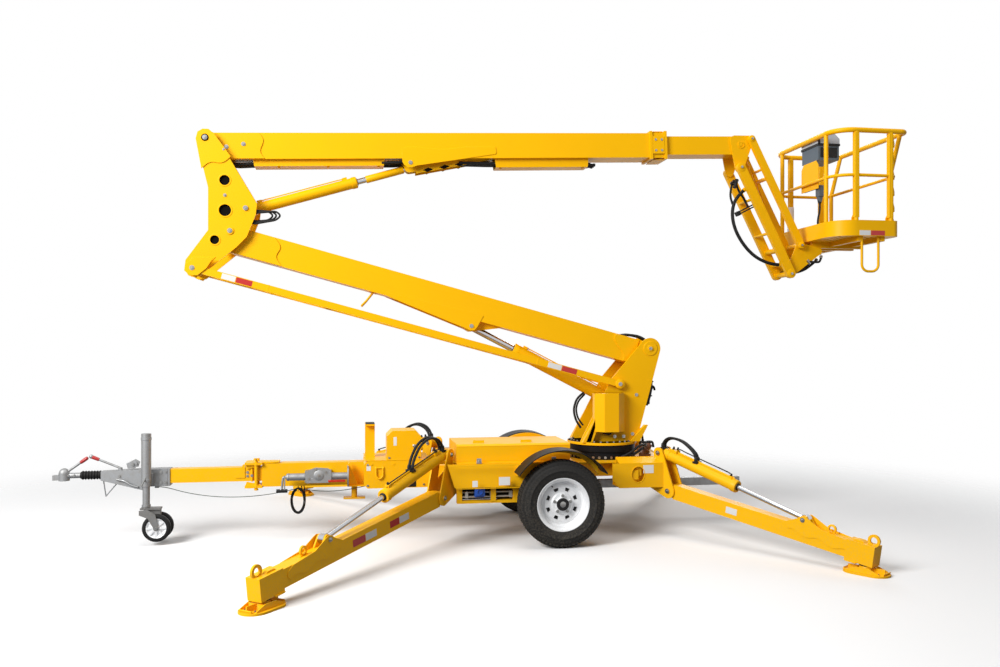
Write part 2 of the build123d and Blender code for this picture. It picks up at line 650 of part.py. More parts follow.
def leg_points(row):
    name, x, y, side, heading, reach, eye, z, up = row
    base = (-cyl_pin_in, z + up)
    a = atan2(-leg_drop, reach)
    h = leg_h / 2 + 46
    tip = (eye * cos(a) - h * sin(a), z + eye * sin(a) + h * cos(a))
    return base, tip


for row in leg_table:
    name, x, y, side, heading, reach, eye, z, up = row
    place = leg_place(row)
    parts["leg_" + name] = place * leg_solid(row)
    base, tip = leg_points(row)
    axis = turn_to(base, tip)
    span = hypot(tip[0] - base[0], tip[1] - base[1])
    barrel_l = span * 0.555
    barrel = axis * (rod((30, 0, 0), (barrel_l, 0, 0), leg_barrel_r) + pin(0, 0, 36, -leg_w / 2, leg_w / 2)
                     + block(0, 60, -30, 30, -28, 28))
    barrel += axis * rod((60, 0, leg_barrel_r + 6), (barrel_l - 40, 0, leg_barrel_r + 6), 8)
    barrel -= axis * rod((60, 0, 0), (barrel_l + 5, 0, 0), leg_rod_r + run_gap)
    barrel -= axis * pin(0, 0, leg_pin_r + pin_play, -200, 200)
    stem = axis * (rod((barrel_l - leg_rod_hold, 0, 0), (span - eye_r + 4, 0, 0), leg_rod_r) + pin(span, 0, eye_r, -23.5, 23.5))
    stem -= axis * pin(span, 0, 16, -60, 60)
    parts["leg_barrel_" + name] = place * barrel
    parts["leg_rod_" + name] = place * stem

# Slew ring and turntable mast
ring = Pos(slew_x, 0, deck_z + slew_h / 2) * (Cylinder(slew_r, slew_h) - Cylinder(slew_r - 90, slew_h + 2))
ring -= Pos(slew_x, 0, deck_z + slew_h * 0.45) * (Cylinder(slew_r + 5, 18) - Cylinder(slew_r - 12, 20))
parts["slew_ring"] = ring
base = Pos(slew_x, 0, base_z + base_t / 2) * Cylinder(slew_r + 15, base_t)
mast_side = lobe_plate([(P1[0], P1[1], 92), (P2[0], P2[1], 78), (slew_x - 235, base_z + base_t + 2, 4),
                        (slew_x + 262, base_z + base_t + 2, 4)], plate_in, plate_in + plate_t)
mast = base + both(mast_side)
back = [(slew_x + 225, base_z + base_t - 1), (slew_x + 240, base_z + base_t - 1), (P1[0] + 60, P1[1] - 110), (P1[0] + 45, P1[1] - 110)]
mast += plate(back, -plate_in - 1, plate_in + 1)
mast += pin(P1[0], P1[1], boom_pin_r, -plate_in - plate_t - 8, plate_in + plate_t + 8)
link_y0 = plate_in + plate_t + link_side
mast += both(pin(P2[0], P2[1], 20, plate_in + 1, link_y0 + link_w + 6))
mast += pin(lower_base[0], lower_base[1], 22, -plate_in - 1, plate_in + 1)
flare = plate([(slew_x - 150, base_z + base_t - 1), (slew_x - 235, base_z + base_t - 1), (slew_x - 60, base_z + 330), (slew_x - 20, base_z + 330)],
              plate_in + plate_t - 1, plate_in + plate_t + 60)
mast += both(flare)
parts["mast"] = mast
cover_y = plate_in + plate_t
cover = block(slew_x - 130, slew_x + 136, -cover_y - 130, -cover_y, 850, 1180)
cover = chamfer(cover.edges().filter_by(Axis.Z).sort_by(Axis.Y)[:2], 70)
cover -= pin(P2[0], P2[1], 60, -400, 0)
cover -= plate([(slew_x - 240, base_z), (slew_x - 140, base_z), (slew_x - 10, base_z + 335), (slew_x - 65, base_z + 335)], -cover_y - 65, -cover_y + 1)
parts["mast_box"] = cover

# Level links between mast and elbow, outside the plates
link_place = turn_to(P2, E2)
link_l = hypot(lower_dx, lower_dz)
bar = link_place * (block(40, link_l - 40, link_y0, link_y0 + link_w, -link_h / 2, link_h / 2)
                    + pin(0, 0, 42, link_y0, link_y0 + link_w) + block(0, 60, link_y0, link_y0 + link_w, -link_h / 2, link_h / 2)
                    + pin(link_l, 0, 42, link_y0, link_y0 + link_w) + block(link_l - 60, link_l, link_y0, link_y0 + link_w, -link_h / 2, link_h / 2))
bar -= link_place * (pin(0, 0, 20 + pin_play, 0, 400) + pin(link_l, 0, 20 + pin_play, 0, 400))
parts["level_link"] = both(bar)

# Lower boom: box section hung below its two hubs
place = turn_to(P1, E1)
length = hypot(lower_dx, lower_dz)
# with x along the boom to the elbow, the boom's underside is on +z of this frame's mirror
lower = place * box_tube(-lower_root, length + 50, boom_w / 2, -lower_up, lower_down, boom_wall)
hubs = place * (pin(0, 0, hub_r, -plate_in + link_side, plate_in - link_side) + pin(length, 0, hub_r, -plate_in + link_side, plate_in - link_side))
lower += hubs
lower -= place * (pin(0, 0, boom_pin_r + pin_play, -300, 300) + pin(length, 0, boom_pin_r + pin_play, -300, 300))
a = degrees(atan2(lower_dz, lower_dx))


def on_boom(origin, angle, x, up):
    return (origin[0] + x * cos(angle) - up * sin(angle), origin[1] + x * sin(angle) + up * cos(angle))


low_a = atan2(lower_dz, lower_dx)
low_x = (lower_eye[0] - P1[0]) * cos(low_a) + (lower_eye[1] - P1[1]) * sin(low_a)
low_z = -(lower_eye[0] - P1[0]) * sin(low_a) + (lower_eye[1] - P1[1]) * cos(low_a)
ears = place * lobe_plate([(low_x, low_z, 46), (low_x - 260, lower_down - 5, 8), (low_x + 260, lower_down - 5, 8)], 42, 56)
# the boom is slotted between its ears for the rod eye
lower = lower - place * block(low_x - 250, low_x + 70, -42, 42, lower_down - boom_wall - 2, lower_down + 2)
lower += both(ears)
parts["lower_boom"] = lower


def cylinder_pair(base, tip, barrel_r, barrel_l, rod_r, base_w, base_r, base_pin, tip_w, tip_r, draw):
    # draw is how far the rod goes in from the rest pose
    axis = turn_to(base, tip)
    span = hypot(tip[0] - base[0], tip[1] - base[1])
    barrel = rod((base_r - 6, 0, 0), (barrel_l, 0, 0), barrel_r) + pin(0, 0, base_r, -base_w, base_w)
    barrel -= rod((base_r + 20, 0, 0), (barrel_l + 5, 0, 0), rod_r + run_gap)
    barrel -= pin(0, 0, base_pin + pin_play, -300, 300)
    stem = rod((base_r + 30 + draw, 0, 0), (span - tip_r + 5, 0, 0), rod_r) + pin(span, 0, tip_r, -tip_w, tip_w)
    stem -= pin(span, 0, tip_r * 0.5, -100, 100)
    return axis * barrel, axis * stem


barrel, stem = cylinder_pair(lower_base, lower_eye, lower_barrel_r, lower_barrel_l, lower_rod_r,
                             plate_in - link_side, 58, 22, 41.5, 40, lower_draw)
parts["lower_barrel"], parts["lower_rod"] = barrel, stem

# Elbow: two cut-out plates with cross tubes
elbow_points = [(U1[0] + x, U1[1] + z) for x, z in ((72, 40), (0, 72), (-56, 45), (-68, -20))]
elbow_points += [(E1[0] + x, E1[1] + z) for x, z in ((-169, 344), (-169, 2))]
elbow_points += [(E2[0] + x, E2[1] + z) for x, z in ((-58, 66), (-68, -19), (-13, -69), (57, -59), (177, 41))]
elbow_points += [(E1[0] + x, E1[1] + z) for x, z in ((52, -131), (132, -46), (202, 134), (212, 224), (152, 324))]
elbow_face = plate(elbow_points, plate_in, plate_in + plate_t)
for x, z, r in ((-41, 407, 45), (-38, 164, 52), (-118, -76, 40)):
    elbow_face -= pin(E1[0] + x, E1[1] + z, r, 0, 400)
elbow = both(elbow_face)
elbow += pin(E1[0], E1[1], boom_pin_r, -plate_in - plate_t - 8, plate_in + plate_t + 8)
elbow += pin(U1[0], U1[1], boom_pin_r, -plate_in - plate_t - 8, plate_in + plate_t + 8)
elbow += pin(luff_base[0], luff_base[1], 22, -plate_in - plate_t - 8, plate_in + plate_t + 8)
elbow += both(pin(E2[0], E2[1], 20, plate_in + 1, link_y0 + link_w + 6))
elbow += pin(E2[0], E2[1], 38, -plate_in - 1, plate_in + 1)
elbow += pin(E1[0] - 133, E1[1] + 284, 30, -plate_in - 1, plate_in + 1)
parts["elbow"] = elbow

# Upper boom: outer section with collar, and the inner section that slides in it
def upper_place():
    return Pos(U1[0], 0, U1[1]) * Rot(0, -upper_slope, 0)


outer = box_tube(-30, upper_l - collar_l, boom_w / 2, -upper_down, upper_up, boom_wall)
outer += pin(0, 0, hub_r, -plate_in + link_side, plate_in - link_side) - block(62, 200, -300, 300, -300, 300)
outer -= pin(0, 0, boom_pin_r + pin_play, -300, 300)
collar = block(upper_l - collar_l, upper_l, -boom_w / 2 - 4, boom_w / 2 + 4, -upper_down - 4, upper_up + 4)
for x in (upper_l - collar_l, upper_l - 24):
    collar += block(x, x + 24, -boom_w / 2 - 16, boom_w / 2 + 16, -upper_down - 16, upper_up + 16)
collar -= block(upper_l - collar_l - 5, upper_l + 5, -inner_w / 2 - pad_gap, inner_w / 2 + pad_gap, -inner_down - pad_gap, inner_up + pad_gap)
luff_x = (luff_eye[0] - U1[0]) * cos(up_a) + (luff_eye[1] - U1[1]) * sin(up_a)
luff_z = -(luff_eye[0] - U1[0]) * sin(up_a) + (luff_eye[1] - U1[1]) * cos(up_a)
ears = lobe_plate([(luff_x, luff_z, 42), (luff_x - 60, -upper_down + 5, 8), (luff_x + 700, -upper_down + 5, 8)], 32, 44)
parts["upper_boom"] = upper_place() * (outer + collar + both(ears))
inner = box_tube(inner_start, inner_end, inner_w / 2, -inner_down, inner_up, 7)
tip_lug = lobe_plate([(head_pin_x, head_pin_z, 40), (inner_end - 20, -inner_down + 40, 40), (inner_end - 20, inner_up - 40, 40)],
                     inner_w / 2 - 24, inner_w / 2)
inner += both(tip_lug) - pin(head_pin_x, head_pin_z, 22 + pin_play, -300, 300)
parts["inner_boom"] = upper_place() * inner

barrel, stem = cylinder_pair(luff_base, luff_eye, luff_barrel_r, luff_barrel_l, luff_rod_r,
                             plate_in - link_side, 50, 22, 31.5, 34, luff_draw)
parts["upper_barrel"], parts["upper_rod"] = barrel, stem

# Jib head on the tip of the inner section
head_plate = lobe_plate([(H[0] - 50, H[1] + 30, 44), (K1[0], K1[1], 36), (J1[0], J1[1], 40)], head_in, head_in + head_t)
jhead = both(head_plate) + pin(H[0], H[1], 22, -head_in - head_t - 4, head_in + head_t + 4)
arm_y0 = head_in + head_t + arm_side
jhead += both(pin(J1[0], J1[1], jib_pin_r, head_in + 1, arm_y0 + arm_w + 6))
jhead += both(pin(K1[0], K1[1], jib_pin_r, head_in + 1, arm_y0 + arm_w + 6))
jhead += pin(jib_base[0], jib_base[1], 14, -head_in - 1, head_in + 1)
jhead += pin(K1[0], K1[1], 20, -head_in - 1, head_in + 1)
parts["jib_head"] = jhead

# Jib arms and jib links, one of each on both sides, tied by cross tubes
arm_l = hypot(jib_dx, jib_dz)


def jib_bar(a, b, h, end_r):
    place = turn_to(a, b)
    bar = block(0, arm_l, arm_y0, arm_y0 + arm_w, -h / 2, h / 2) + pin(0, 0, end_r, arm_y0, arm_y0 + arm_w)
    bar += pin(arm_l, 0, end_r, arm_y0, arm_y0 + arm_w)
    bar -= pin(0, 0, jib_pin_r + pin_play, 0, 400) + pin(arm_l, 0, jib_pin_r + pin_play, 0, 400)
    return place * both(bar)


arm = jib_bar(J1, J2, arm_h, arm_h / 2)
arm_dir = (jib_dx / arm_l, jib_dz / arm_l)
eye_along = (jib_eye[0] - J1[0]) * arm_dir[0] + (jib_eye[1] - J1[1]) * arm_dir[1]
cross = (J1[0] + arm_dir[0] * (eye_along - 10), J1[1] + arm_dir[1] * (eye_along - 10))
arm += pin(cross[0], cross[1], 22, -arm_y0 - 1, arm_y0 + 1)
arm += both(lobe_plate([(cross[0], cross[1], 24), (jib_eye[0], jib_eye[1], 26)], 22, 32))
hose_y = -jib_hose_in
hose_low, hose_up = arm_l - 100, 190
arm += pin(J1[0] + arm_dir[0] * hose_low, J1[1] + arm_dir[1] * hose_low, 16, -arm_y0 - 1, arm_y0 + 1)
arm += pin(J1[0] + arm_dir[0] * hose_up, J1[1] + arm_dir[1] * hose_up, 14, -arm_y0 - 1, hose_y + 16)
hose = [(50, -198), (-5, -249), (-42, -317), (-56, -394), (-49, -473), (-26, -549), (10, -619), (55, -684), (108, -742),
        (165, -788), (228, -822), (294, -845), (356, -856), (392, -858)]
hose = [(J1[0] + x, hose_y, J1[1] + z) for x, z in hose]
for end, beyond, along in ((hose[0], hose[1], hose_up), (hose[-1], hose[-2], hose_low)):
    back = (Vector(*end) - Vector(*beyond)).normalized()
    arm += rod(Vector(*end) + back * run_gap, Vector(*end) + back * 24, jib_hose_r + 4)
    arm += rod(Vector(*end) + back * 20, (J1[0] + arm_dir[0] * along, hose_y, J1[1] + arm_dir[1] * along), 12)
parts["jib_arm"] = arm
parts["jib_hose"] = cord_tube("jib_hose", hose, jib_hose_r)
jlink = jib_bar(K1, K2, jlink_h, jlink_h / 2)
cross = (K1[0] + jib_dx * 0.36, K1[1] + jib_dz * 0.36)
jlink += pin(cross[0], cross[1], 18, -arm_y0 - 1, arm_y0 + 1)
parts["jib_link"] = jlink
barrel, stem = cylinder_pair(jib_base, jib_eye, jib_barrel_r, jib_barrel_l, jib_rod_r, jib_barrel_w, 30, 14, 21.5, 22, jib_draw)
parts["jib_barrel"], parts["jib_rod"] = barrel, stem

# Basket mount: plates on the four jib pins, with a cross block that the basket beams sit on
mount_x = K2[0] + 191
mount_z = basket_low - beam_h - 32
mount_plate = lobe_plate([(J2[0], J2[1], 36), (K2[0], K2[1], 27), (mount_x, mount_z + 2, 30)], head_in, head_in + head_t)
mount = both(mount_plate)
mount += both(pin(J2[0], J2[1], jib_pin_r, head_in + 1, arm_y0 + arm_w + 6) + pin(K2[0], K2[1], jib_pin_r, head_in + 1, arm_y0 + arm_w + 6))
mount += pin(J2[0], J2[1], 24, -head_in - 1, head_in + 1) + pin(K2[0], K2[1], 20, -head_in - 1, head_in + 1)
mount += block(mount_x - 70, mount_x + 30, -head_in - 1, head_in + 1, mount_z - 28, basket_low - beam_h - seat_gap)


# Basket: plan outline with two large corners on the boom side
def plan(x0, x1, w, r0, r1, z):
    box = Pos((x0 + x1) / 2, 0, z) * Rectangle(x1 - x0, w)
    near = box.vertices().group_by(Axis.X)[0]
    far = box.vertices().group_by(Axis.X)[-1]
    return fillet(far, r1) if not r0 else fillet(fillet(near, r0).vertices().group_by(Axis.X)[-1], r1)


far_r = 60
floor_out = extrude(plan(basket_x0, basket_x1, basket_w, corner_r, far_r, basket_low), amount=toe_top - basket_low)
floor_in = extrude(plan(basket_x0 + 5, basket_x1 - 5, basket_w - 10, corner_r - 5, far_r - 5, basket_low + floor_t), amount=toe_top)
basket = floor_out - floor_in
basket += both(block(basket_x0 + 60, basket_x1 - 40, -head_in + 5, -head_in + 45, basket_low - beam_h, basket_low + 1))
for x in (basket_x0 + 230, basket_x1 - 160):
    basket += block(x, x + 40, -basket_w / 2 + 40, basket_w / 2 - 40, basket_low - beam_h + 15, basket_low + 1)
step_y = -basket_w / 2 + 50
step_x = basket_x0 + step_in
step_low = basket_low - step_h
step = FilletPolyline((step_x, step_y, basket_low + 2), (step_x, step_y, step_low), (step_x + step_w, step_y, step_low),
                      (step_x + step_w, step_y, basket_low + 2), radius=step_r)
basket += sweep(Plane(step @ 0, z_dir=step % 0) * Circle(11), path=step)
parts["basket_base"] = basket + mount


def hoop(z, x0, x1, w, r0, r1, tube):
    path = plan(x0, x1, w, r0, r1, z).faces()[0].outer_wire()
    start = path.edges()[0]
    section = Plane(start @ 0, z_dir=start % 0) * Circle(tube)
    return sweep(section, path=path)


inset = top_tube_r
rails = hoop(top_rail_z, basket_x0 + inset, basket_x1 + top_rail_over - inset, basket_w - 2 * inset, corner_r - inset, far_r, top_tube_r)
rails += hoop(mid_rail_z, basket_x0 + inset, basket_x1 - inset, basket_w - 2 * inset, corner_r - inset, far_r, 14)
posts = [(x, s) for s in (-1, 1) for x in (basket_x0 + corner_r, basket_x1 - far_r - 15)]
for x, s in posts:
    rails += rod((x, s * (basket_w / 2 - inset), toe_top), (x, s * (basket_w / 2 - inset), top_rail_z), tube_r)
for y in (-basket_w / 2 + corner_r, basket_w / 2 - corner_r):
    rails += rod((basket_x0 + inset, y, toe_top), (basket_x0 + inset, y, top_rail_z), tube_r)
for y in (-basket_w / 2 + far_r + 60, basket_w / 2 - far_r - 60):
    rails += rod((basket_x1 - inset, y, toe_top), (basket_x1 - inset, y, mid_rail_z + 5), tube_r)
    rails += rod((basket_x1 - inset, y, mid_rail_z), (basket_x1 + top_rail_over - inset, y, top_rail_z), tube_r)
parts["basket_rails"] = rails
console_x = basket_x0 + 2 * inset + run_gap
console = block(console_x, console_x + 200, -230, 60, top_rail_z - 190, top_rail_z + 60)
console = chamfer(console.edges().filter_by(Axis.Y).sort_by(Axis.Z)[-2:], 60)
parts["console"] = console + block(console_x, console_x + 14, -200, 30, mid_rail_z - 60, top_rail_z - 189)

# Export about the middle of the bounding box, standing on the ground
origin_x = Compound(children=[Compound(s.solids()) for s in parts.values()]).bounding_box().center().X
if __name__ == "__main__":
    os.makedirs("parts", exist_ok=True)
    for name, shape in parts.items():
        export_step(Compound([Pos(-origin_x, 0, 0) * s for s in shape.solids()]), f"parts/{name}.step")
    print(len(parts), "nodes, origin at", round(origin_x, 3))
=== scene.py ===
import math

import bmesh
import bpy
from mathutils import Matrix, Vector


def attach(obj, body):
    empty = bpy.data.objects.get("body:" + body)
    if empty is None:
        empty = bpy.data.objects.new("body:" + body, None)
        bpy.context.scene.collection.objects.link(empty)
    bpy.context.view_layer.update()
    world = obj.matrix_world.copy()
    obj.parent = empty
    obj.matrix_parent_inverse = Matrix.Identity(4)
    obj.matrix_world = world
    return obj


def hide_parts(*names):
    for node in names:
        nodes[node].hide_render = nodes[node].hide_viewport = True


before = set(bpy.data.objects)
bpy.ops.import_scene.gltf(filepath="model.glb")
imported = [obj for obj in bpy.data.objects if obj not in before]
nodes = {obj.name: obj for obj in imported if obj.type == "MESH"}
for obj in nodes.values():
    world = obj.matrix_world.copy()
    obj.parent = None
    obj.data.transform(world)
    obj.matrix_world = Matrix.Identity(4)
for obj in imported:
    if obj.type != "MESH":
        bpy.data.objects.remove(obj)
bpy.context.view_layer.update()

# Studio: a wide pale floor that fades into a white surround, one large soft lamp over the
# near side, a weaker one from the far side, and the camera at standing height beside the lift.
scene = bpy.context.scene
scene.view_settings.view_transform = "Standard"
eye = Vector((-1.2083, -7.575, 1.593))
turn_right = math.radians(9.5)
cam_data = bpy.data.cameras.new("camera")
cam_data.sensor_width, cam_data.lens = 36.0, 31.86
cam_data.shift_y = 0.0115
camera = bpy.data.objects.new("camera", cam_data)
camera.location = eye
camera.rotation_euler = (math.radians(90), 0, -turn_right)
scene.collection.objects.link(camera)
scene.camera = camera

world = bpy.data.worlds.new("surround")
scene.world = world
world.use_nodes = True
tree = world.node_tree
tree.nodes.clear()
seen = tree.nodes.new("ShaderNodeLightPath")
soft_light = tree.nodes.new("ShaderNodeBackground")
soft_light.inputs["Color"].default_value = (0.95, 0.97, 1.0, 1)
soft_light.inputs["Strength"].default_value = 0.22
white = tree.nodes.new("ShaderNodeBackground")
white.inputs["Color"].default_value = (1, 1, 1, 1)
either = tree.nodes.new("ShaderNodeMath")
either.operation = "MAXIMUM"
mirrored = tree.nodes.new("ShaderNodeMath")
mirrored.operation = "MAXIMUM"
pick = tree.nodes.new("ShaderNodeMixShader")
out = tree.nodes.new("ShaderNodeOutputWorld")
tree.links.new(seen.outputs["Is Camera Ray"], either.inputs[0])
tree.links.new(seen.outputs["Is Transmission Ray"], either.inputs[1])
tree.links.new(either.outputs[0], mirrored.inputs[0])
tree.links.new(seen.outputs["Is Glossy Ray"], mirrored.inputs[1])
tree.links.new(mirrored.outputs[0], pick.inputs["Fac"])
tree.links.new(soft_light.outputs[0], pick.inputs[1])
tree.links.new(white.outputs[0], pick.inputs[2])
tree.links.new(pick.outputs[0], out.inputs["Surface"])

for name, place, aim, size, watts in (("key", (-7.5, -6.2, 6.2), (0.2, 0, 1.2), 4.5, 1350),
    ("over", (0.5, -1.5, 9.0), (0.4, 0, 0.5), 6.0, 260), ("back", (4.5, 7.0, 5.0), (0.4, 0, 1.5), 4.0, 200)):
    lamp = bpy.data.lights.new(name, "AREA")
    lamp.size, lamp.energy = size, watts
    stand = bpy.data.objects.new(name, lamp)
    stand.location = place
    stand.rotation_euler = (Vector(aim) - Vector(place)).to_track_quat("-Z", "Y").to_euler()
    scene.collection.objects.link(stand)

floor_mesh = bpy.data.meshes.new("floor")
floor_mesh.from_pydata([(-40, -40, 0), (40, -40, 0), (40, 40, 0), (-40, 40, 0)], [], [(0, 1, 2, 3)])
floor = bpy.data.objects.new("floor", floor_mesh)
scene.collection.objects.link(floor)
floor_paint = bpy.data.materials.new("floor_paint")
floor_paint.use_nodes = True
tree = floor_paint.node_tree
tree.nodes.clear()
place_in = tree.nodes.new("ShaderNodeTexCoord")
away = tree.nodes.new("ShaderNodeVectorMath")
away.operation = "LENGTH"
fade = tree.nodes.new("ShaderNodeMapRange")
fade.inputs["From Min"].default_value, fade.inputs["From Max"].default_value = 3.6, 7.0
fade.interpolation_type = "SMOOTHSTEP"
matt = tree.nodes.new("ShaderNodeBsdfDiffuse")
floor_tone = tree.nodes.new("ShaderNodeMix")
floor_tone.data_type = "RGBA"
floor_tone.inputs["A"].default_value, floor_tone.inputs["B"].default_value = (0.30, 0.31, 0.33, 1), (0.93, 0.93,
    0.93, 1)
lit_path = tree.nodes.new("ShaderNodeLightPath")
tree.links.new(lit_path.outputs["Is Camera Ray"], floor_tone.inputs["Factor"])
tree.links.new(floor_tone.outputs["Result"], matt.inputs["Color"])
clear = tree.nodes.new("ShaderNodeBsdfTransparent")
blend_out = tree.nodes.new("ShaderNodeMixShader")
out = tree.nodes.new("ShaderNodeOutputMaterial")
tree.links.new(place_in.outputs["Object"], away.inputs[0])
tree.links.new(away.outputs["Value"], fade.inputs["Value"])
tree.links.new(fade.outputs["Result"], blend_out.inputs["Fac"])
tree.links.new(matt.outputs[0], blend_out.inputs[1])
tree.links.new(clear.outputs[0], blend_out.inputs[2])
tree.links.new(blend_out.outputs[0], out.inputs["Surface"])
floor_mesh.materials.append(floor_paint)

# Cords. A black supply cable hangs in a loose hank from the hook under the tow beam, a thin
# brake wire runs along the tongue, and a thick hydraulic hose loops down beside the jib.
# The worn-surface group gives the colour shift, road dust and grain that every finish shows.
wear = bpy.data.node_groups.new("worn surface", "ShaderNodeTree")
for label, kind, start in (("Color", "NodeSocketColor", (0.8, 0.8, 0.8, 1)),
    ("Dust Color", "NodeSocketColor", (0.32, 0.27, 0.2, 1)), ("Shade", "NodeSocketFloat", 0.08),
    ("Dust", "NodeSocketFloat", 0.15), ("Dust Height", "NodeSocketFloat", 0.9),
    ("Roughness", "NodeSocketFloat", 0.3), ("Roughness Shift", "NodeSocketFloat", 0.08),
    ("Patch Scale", "NodeSocketFloat", 3.0), ("Grain Scale", "NodeSocketFloat", 140.0),
    ("Grain", "NodeSocketFloat", 0.02)):
    socket = wear.interface.new_socket(name=label, in_out="INPUT", socket_type=kind)
    socket.default_value = start
for label, kind in (("Color", "NodeSocketColor"), ("Roughness", "NodeSocketFloat"), ("Normal", "NodeSocketVector")):
    wear.interface.new_socket(name=label, in_out="OUTPUT", socket_type=kind)
g = wear.nodes
given = g.new("NodeGroupInput")
result = g.new("NodeGroupOutput")
where = g.new("ShaderNodeTexCoord")
patches = g.new("ShaderNodeTexNoise")
patches.inputs["Detail"].default_value = 5.0
specks = g.new("ShaderNodeTexNoise")
specks.inputs["Scale"].default_value = 90.0
specks.inputs["Detail"].default_value = 6.0
specks.inputs["Roughness"].default_value = 0.7
grain = g.new("ShaderNodeTexNoise")
grain.inputs["Detail"].default_value = 3.0
for tex, scale in ((patches, "Patch Scale"), (grain, "Grain Scale")):
    wear.links.new(given.outputs[scale], tex.inputs["Scale"])
for tex in (patches, specks, grain):
    wear.links.new(where.outputs["Object"], tex.inputs["Vector"])
shift = g.new("ShaderNodeMapRange")
shift.inputs["From Min"].default_value, shift.inputs["From Max"].default_value = 0.3, 0.7
wear.links.new(patches.outputs["Fac"], shift.inputs["Value"])
darker = g.new("ShaderNodeMix")
darker.data_type, darker.blend_type = "RGBA", "MULTIPLY"
shade_by = g.new("ShaderNodeMath")
shade_by.operation = "MULTIPLY"
wear.links.new(shift.outputs["Result"], shade_by.inputs[0])
wear.links.new(given.outputs["Shade"], shade_by.inputs[1])
wear.links.new(shade_by.outputs[0], darker.inputs["Factor"])
wear.links.new(given.outputs["Color"], darker.inputs["A"])
darker.inputs["B"].default_value = (0.45, 0.36, 0.25, 1)
parts_of = g.new("ShaderNodeSeparateXYZ")
wear.links.new(where.outputs["Object"], parts_of.inputs[0])
low_down = g.new("ShaderNodeMapRange")
low_down.inputs["To Min"].default_value, low_down.inputs["To Max"].default_value = 1.0, 0.06
wear.links.new(parts_of.outputs["Z"], low_down.inputs["Value"])
wear.links.new(given.outputs["Dust Height"], low_down.inputs["From Max"])
speck_edge = g.new("ShaderNodeMapRange")
speck_edge.inputs["From Min"].default_value, speck_edge.inputs["From Max"].default_value = 0.44, 0.72
wear.links.new(specks.outputs["Fac"], speck_edge.inputs["Value"])
dust = g.new("ShaderNodeMath")
dust.operation = "MULTIPLY"
dust_all = g.new("ShaderNodeMath")
dust_all.operation = "MULTIPLY"
wear.links.new(low_down.outputs["Result"], dust.inputs[0])
wear.links.new(speck_edge.outputs["Result"], dust.inputs[1])
wear.links.new(dust.outputs[0], dust_all.inputs[0])
wear.links.new(given.outputs["Dust"], dust_all.inputs[1])
dusty = g.new("ShaderNodeMix")
dusty.data_type = "RGBA"
wear.links.new(dust_all.outputs[0], dusty.inputs["Factor"])
wear.links.new(darker.outputs["Result"], dusty.inputs["A"])
wear.links.new(given.outputs["Dust Color"], dusty.inputs["B"])
rough_by = g.new("ShaderNodeMath")
rough_by.operation = "MULTIPLY_ADD"
wear.links.new(shift.outputs["Result"], rough_by.inputs[0])
wear.links.new(given.outputs["Roughness Shift"], rough_by.inputs[1])
wear.links.new(given.outputs["Roughness"], rough_by.inputs[2])
rough_all = g.new("ShaderNodeMath")
rough_all.operation = "MULTIPLY_ADD"
rough_all.inputs[1].default_value = 0.5
wear.links.new(dust_all.outputs[0], rough_all.inputs[0])
wear.links.new(rough_by.outputs[0], rough_all.inputs[2])
skin = g.new("ShaderNodeBump")
skin.inputs["Distance"].default_value = 0.002
wear.links.new(given.outputs["Grain"], skin.inputs["Strength"])
wear.links.new(grain.outputs["Fac"], skin.inputs["Height"])
wear.links.new(dusty.outputs["Result"], result.inputs["Color"])
wear.links.new(rough_all.outputs[0], result.inputs["Roughness"])
wear.links.new(skin.outputs["Normal"], result.inputs["Normal"])


def finish(name, color, roughness, metallic=0.0, coat=0.0, specular=0.5, **worn):
    made = bpy.data.materials.new(name)
    made.use_nodes = True
    tree = made.node_tree
    shader = tree.nodes["Principled BSDF"]
    shader.inputs["Metallic"].default_value = metallic
    shader.inputs["Coat Weight"].default_value = coat
    shader.inputs["Coat Roughness"].default_value = 0.08
    shader.inputs["Specular IOR Level"].default_value = specular
    worn_in = tree.nodes.new("ShaderNodeGroup")
    worn_in.node_tree = wear
    worn_in.inputs["Color"].default_value = (*color, 1)
    worn_in.inputs["Roughness"].default_value = roughness
    for label, value in worn.items():
        worn_in.inputs[label.replace("_", " ").title()].default_value = value
    tree.links.new(worn_in.outputs["Color"], shader.inputs["Base Color"])
    tree.links.new(worn_in.outputs["Roughness"], shader.inputs["Roughness"])
    tree.links.new(worn_in.outputs["Normal"], shader.inputs["Normal"])
    return made


rubber = finish("black_rubber", (0.010, 0.010, 0.010), 0.5, specular=0.2, shade=0.1, roughness_shift=0.12,
    dust=0.04, dust_height=1.0, grain=0.15)
wire_green = finish("green_grey_wire", (0.07, 0.10, 0.08), 0.45, shade=0.1, dust=0.3, grain=0.05)


def cord_curve(name, points, radius, paint, body):
    line = bpy.data.curves.new(name, "CURVE")
    line.dimensions, line.resolution_u = "3D", 8
    line.bevel_depth, line.bevel_resolution, line.use_fill_caps = radius, 4, True
    run = line.splines.new("NURBS")
    run.points.add(len(points) - 1)
    for slot_at, point in zip(run.points, points):
        slot_at.co = (*point, 1)
    run.order_u, run.use_endpoint_u = 3, True
    piece = bpy.data.objects.new(name, line)
    scene.collection.objects.link(piece)
    line.materials.append(paint)
    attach(piece, body)
    return piece


def nurbs_length(piece):
    plain = piece.data.copy()
    plain.bevel_depth = 0
    carrier = bpy.data.objects.new("measure", plain)
    scene.collection.objects.link(carrier)
    bpy.context.view_layer.update()
    line = bpy.data.meshes.new_from_object(carrier)
    length = sum((line.vertices[e.vertices[0]].co - line.vertices[e.vertices[1]].co).length for e in line.edges)
    bpy.data.objects.remove(carrier)
    return length


hank_mid, steps_a_turn = Vector((-1.6481, 0, 0.3038)), 14
hank = [(-1.601, -0.056, 0.426), (-1.598, -0.058, 0.405), (-1.592, -0.060, 0.372)]
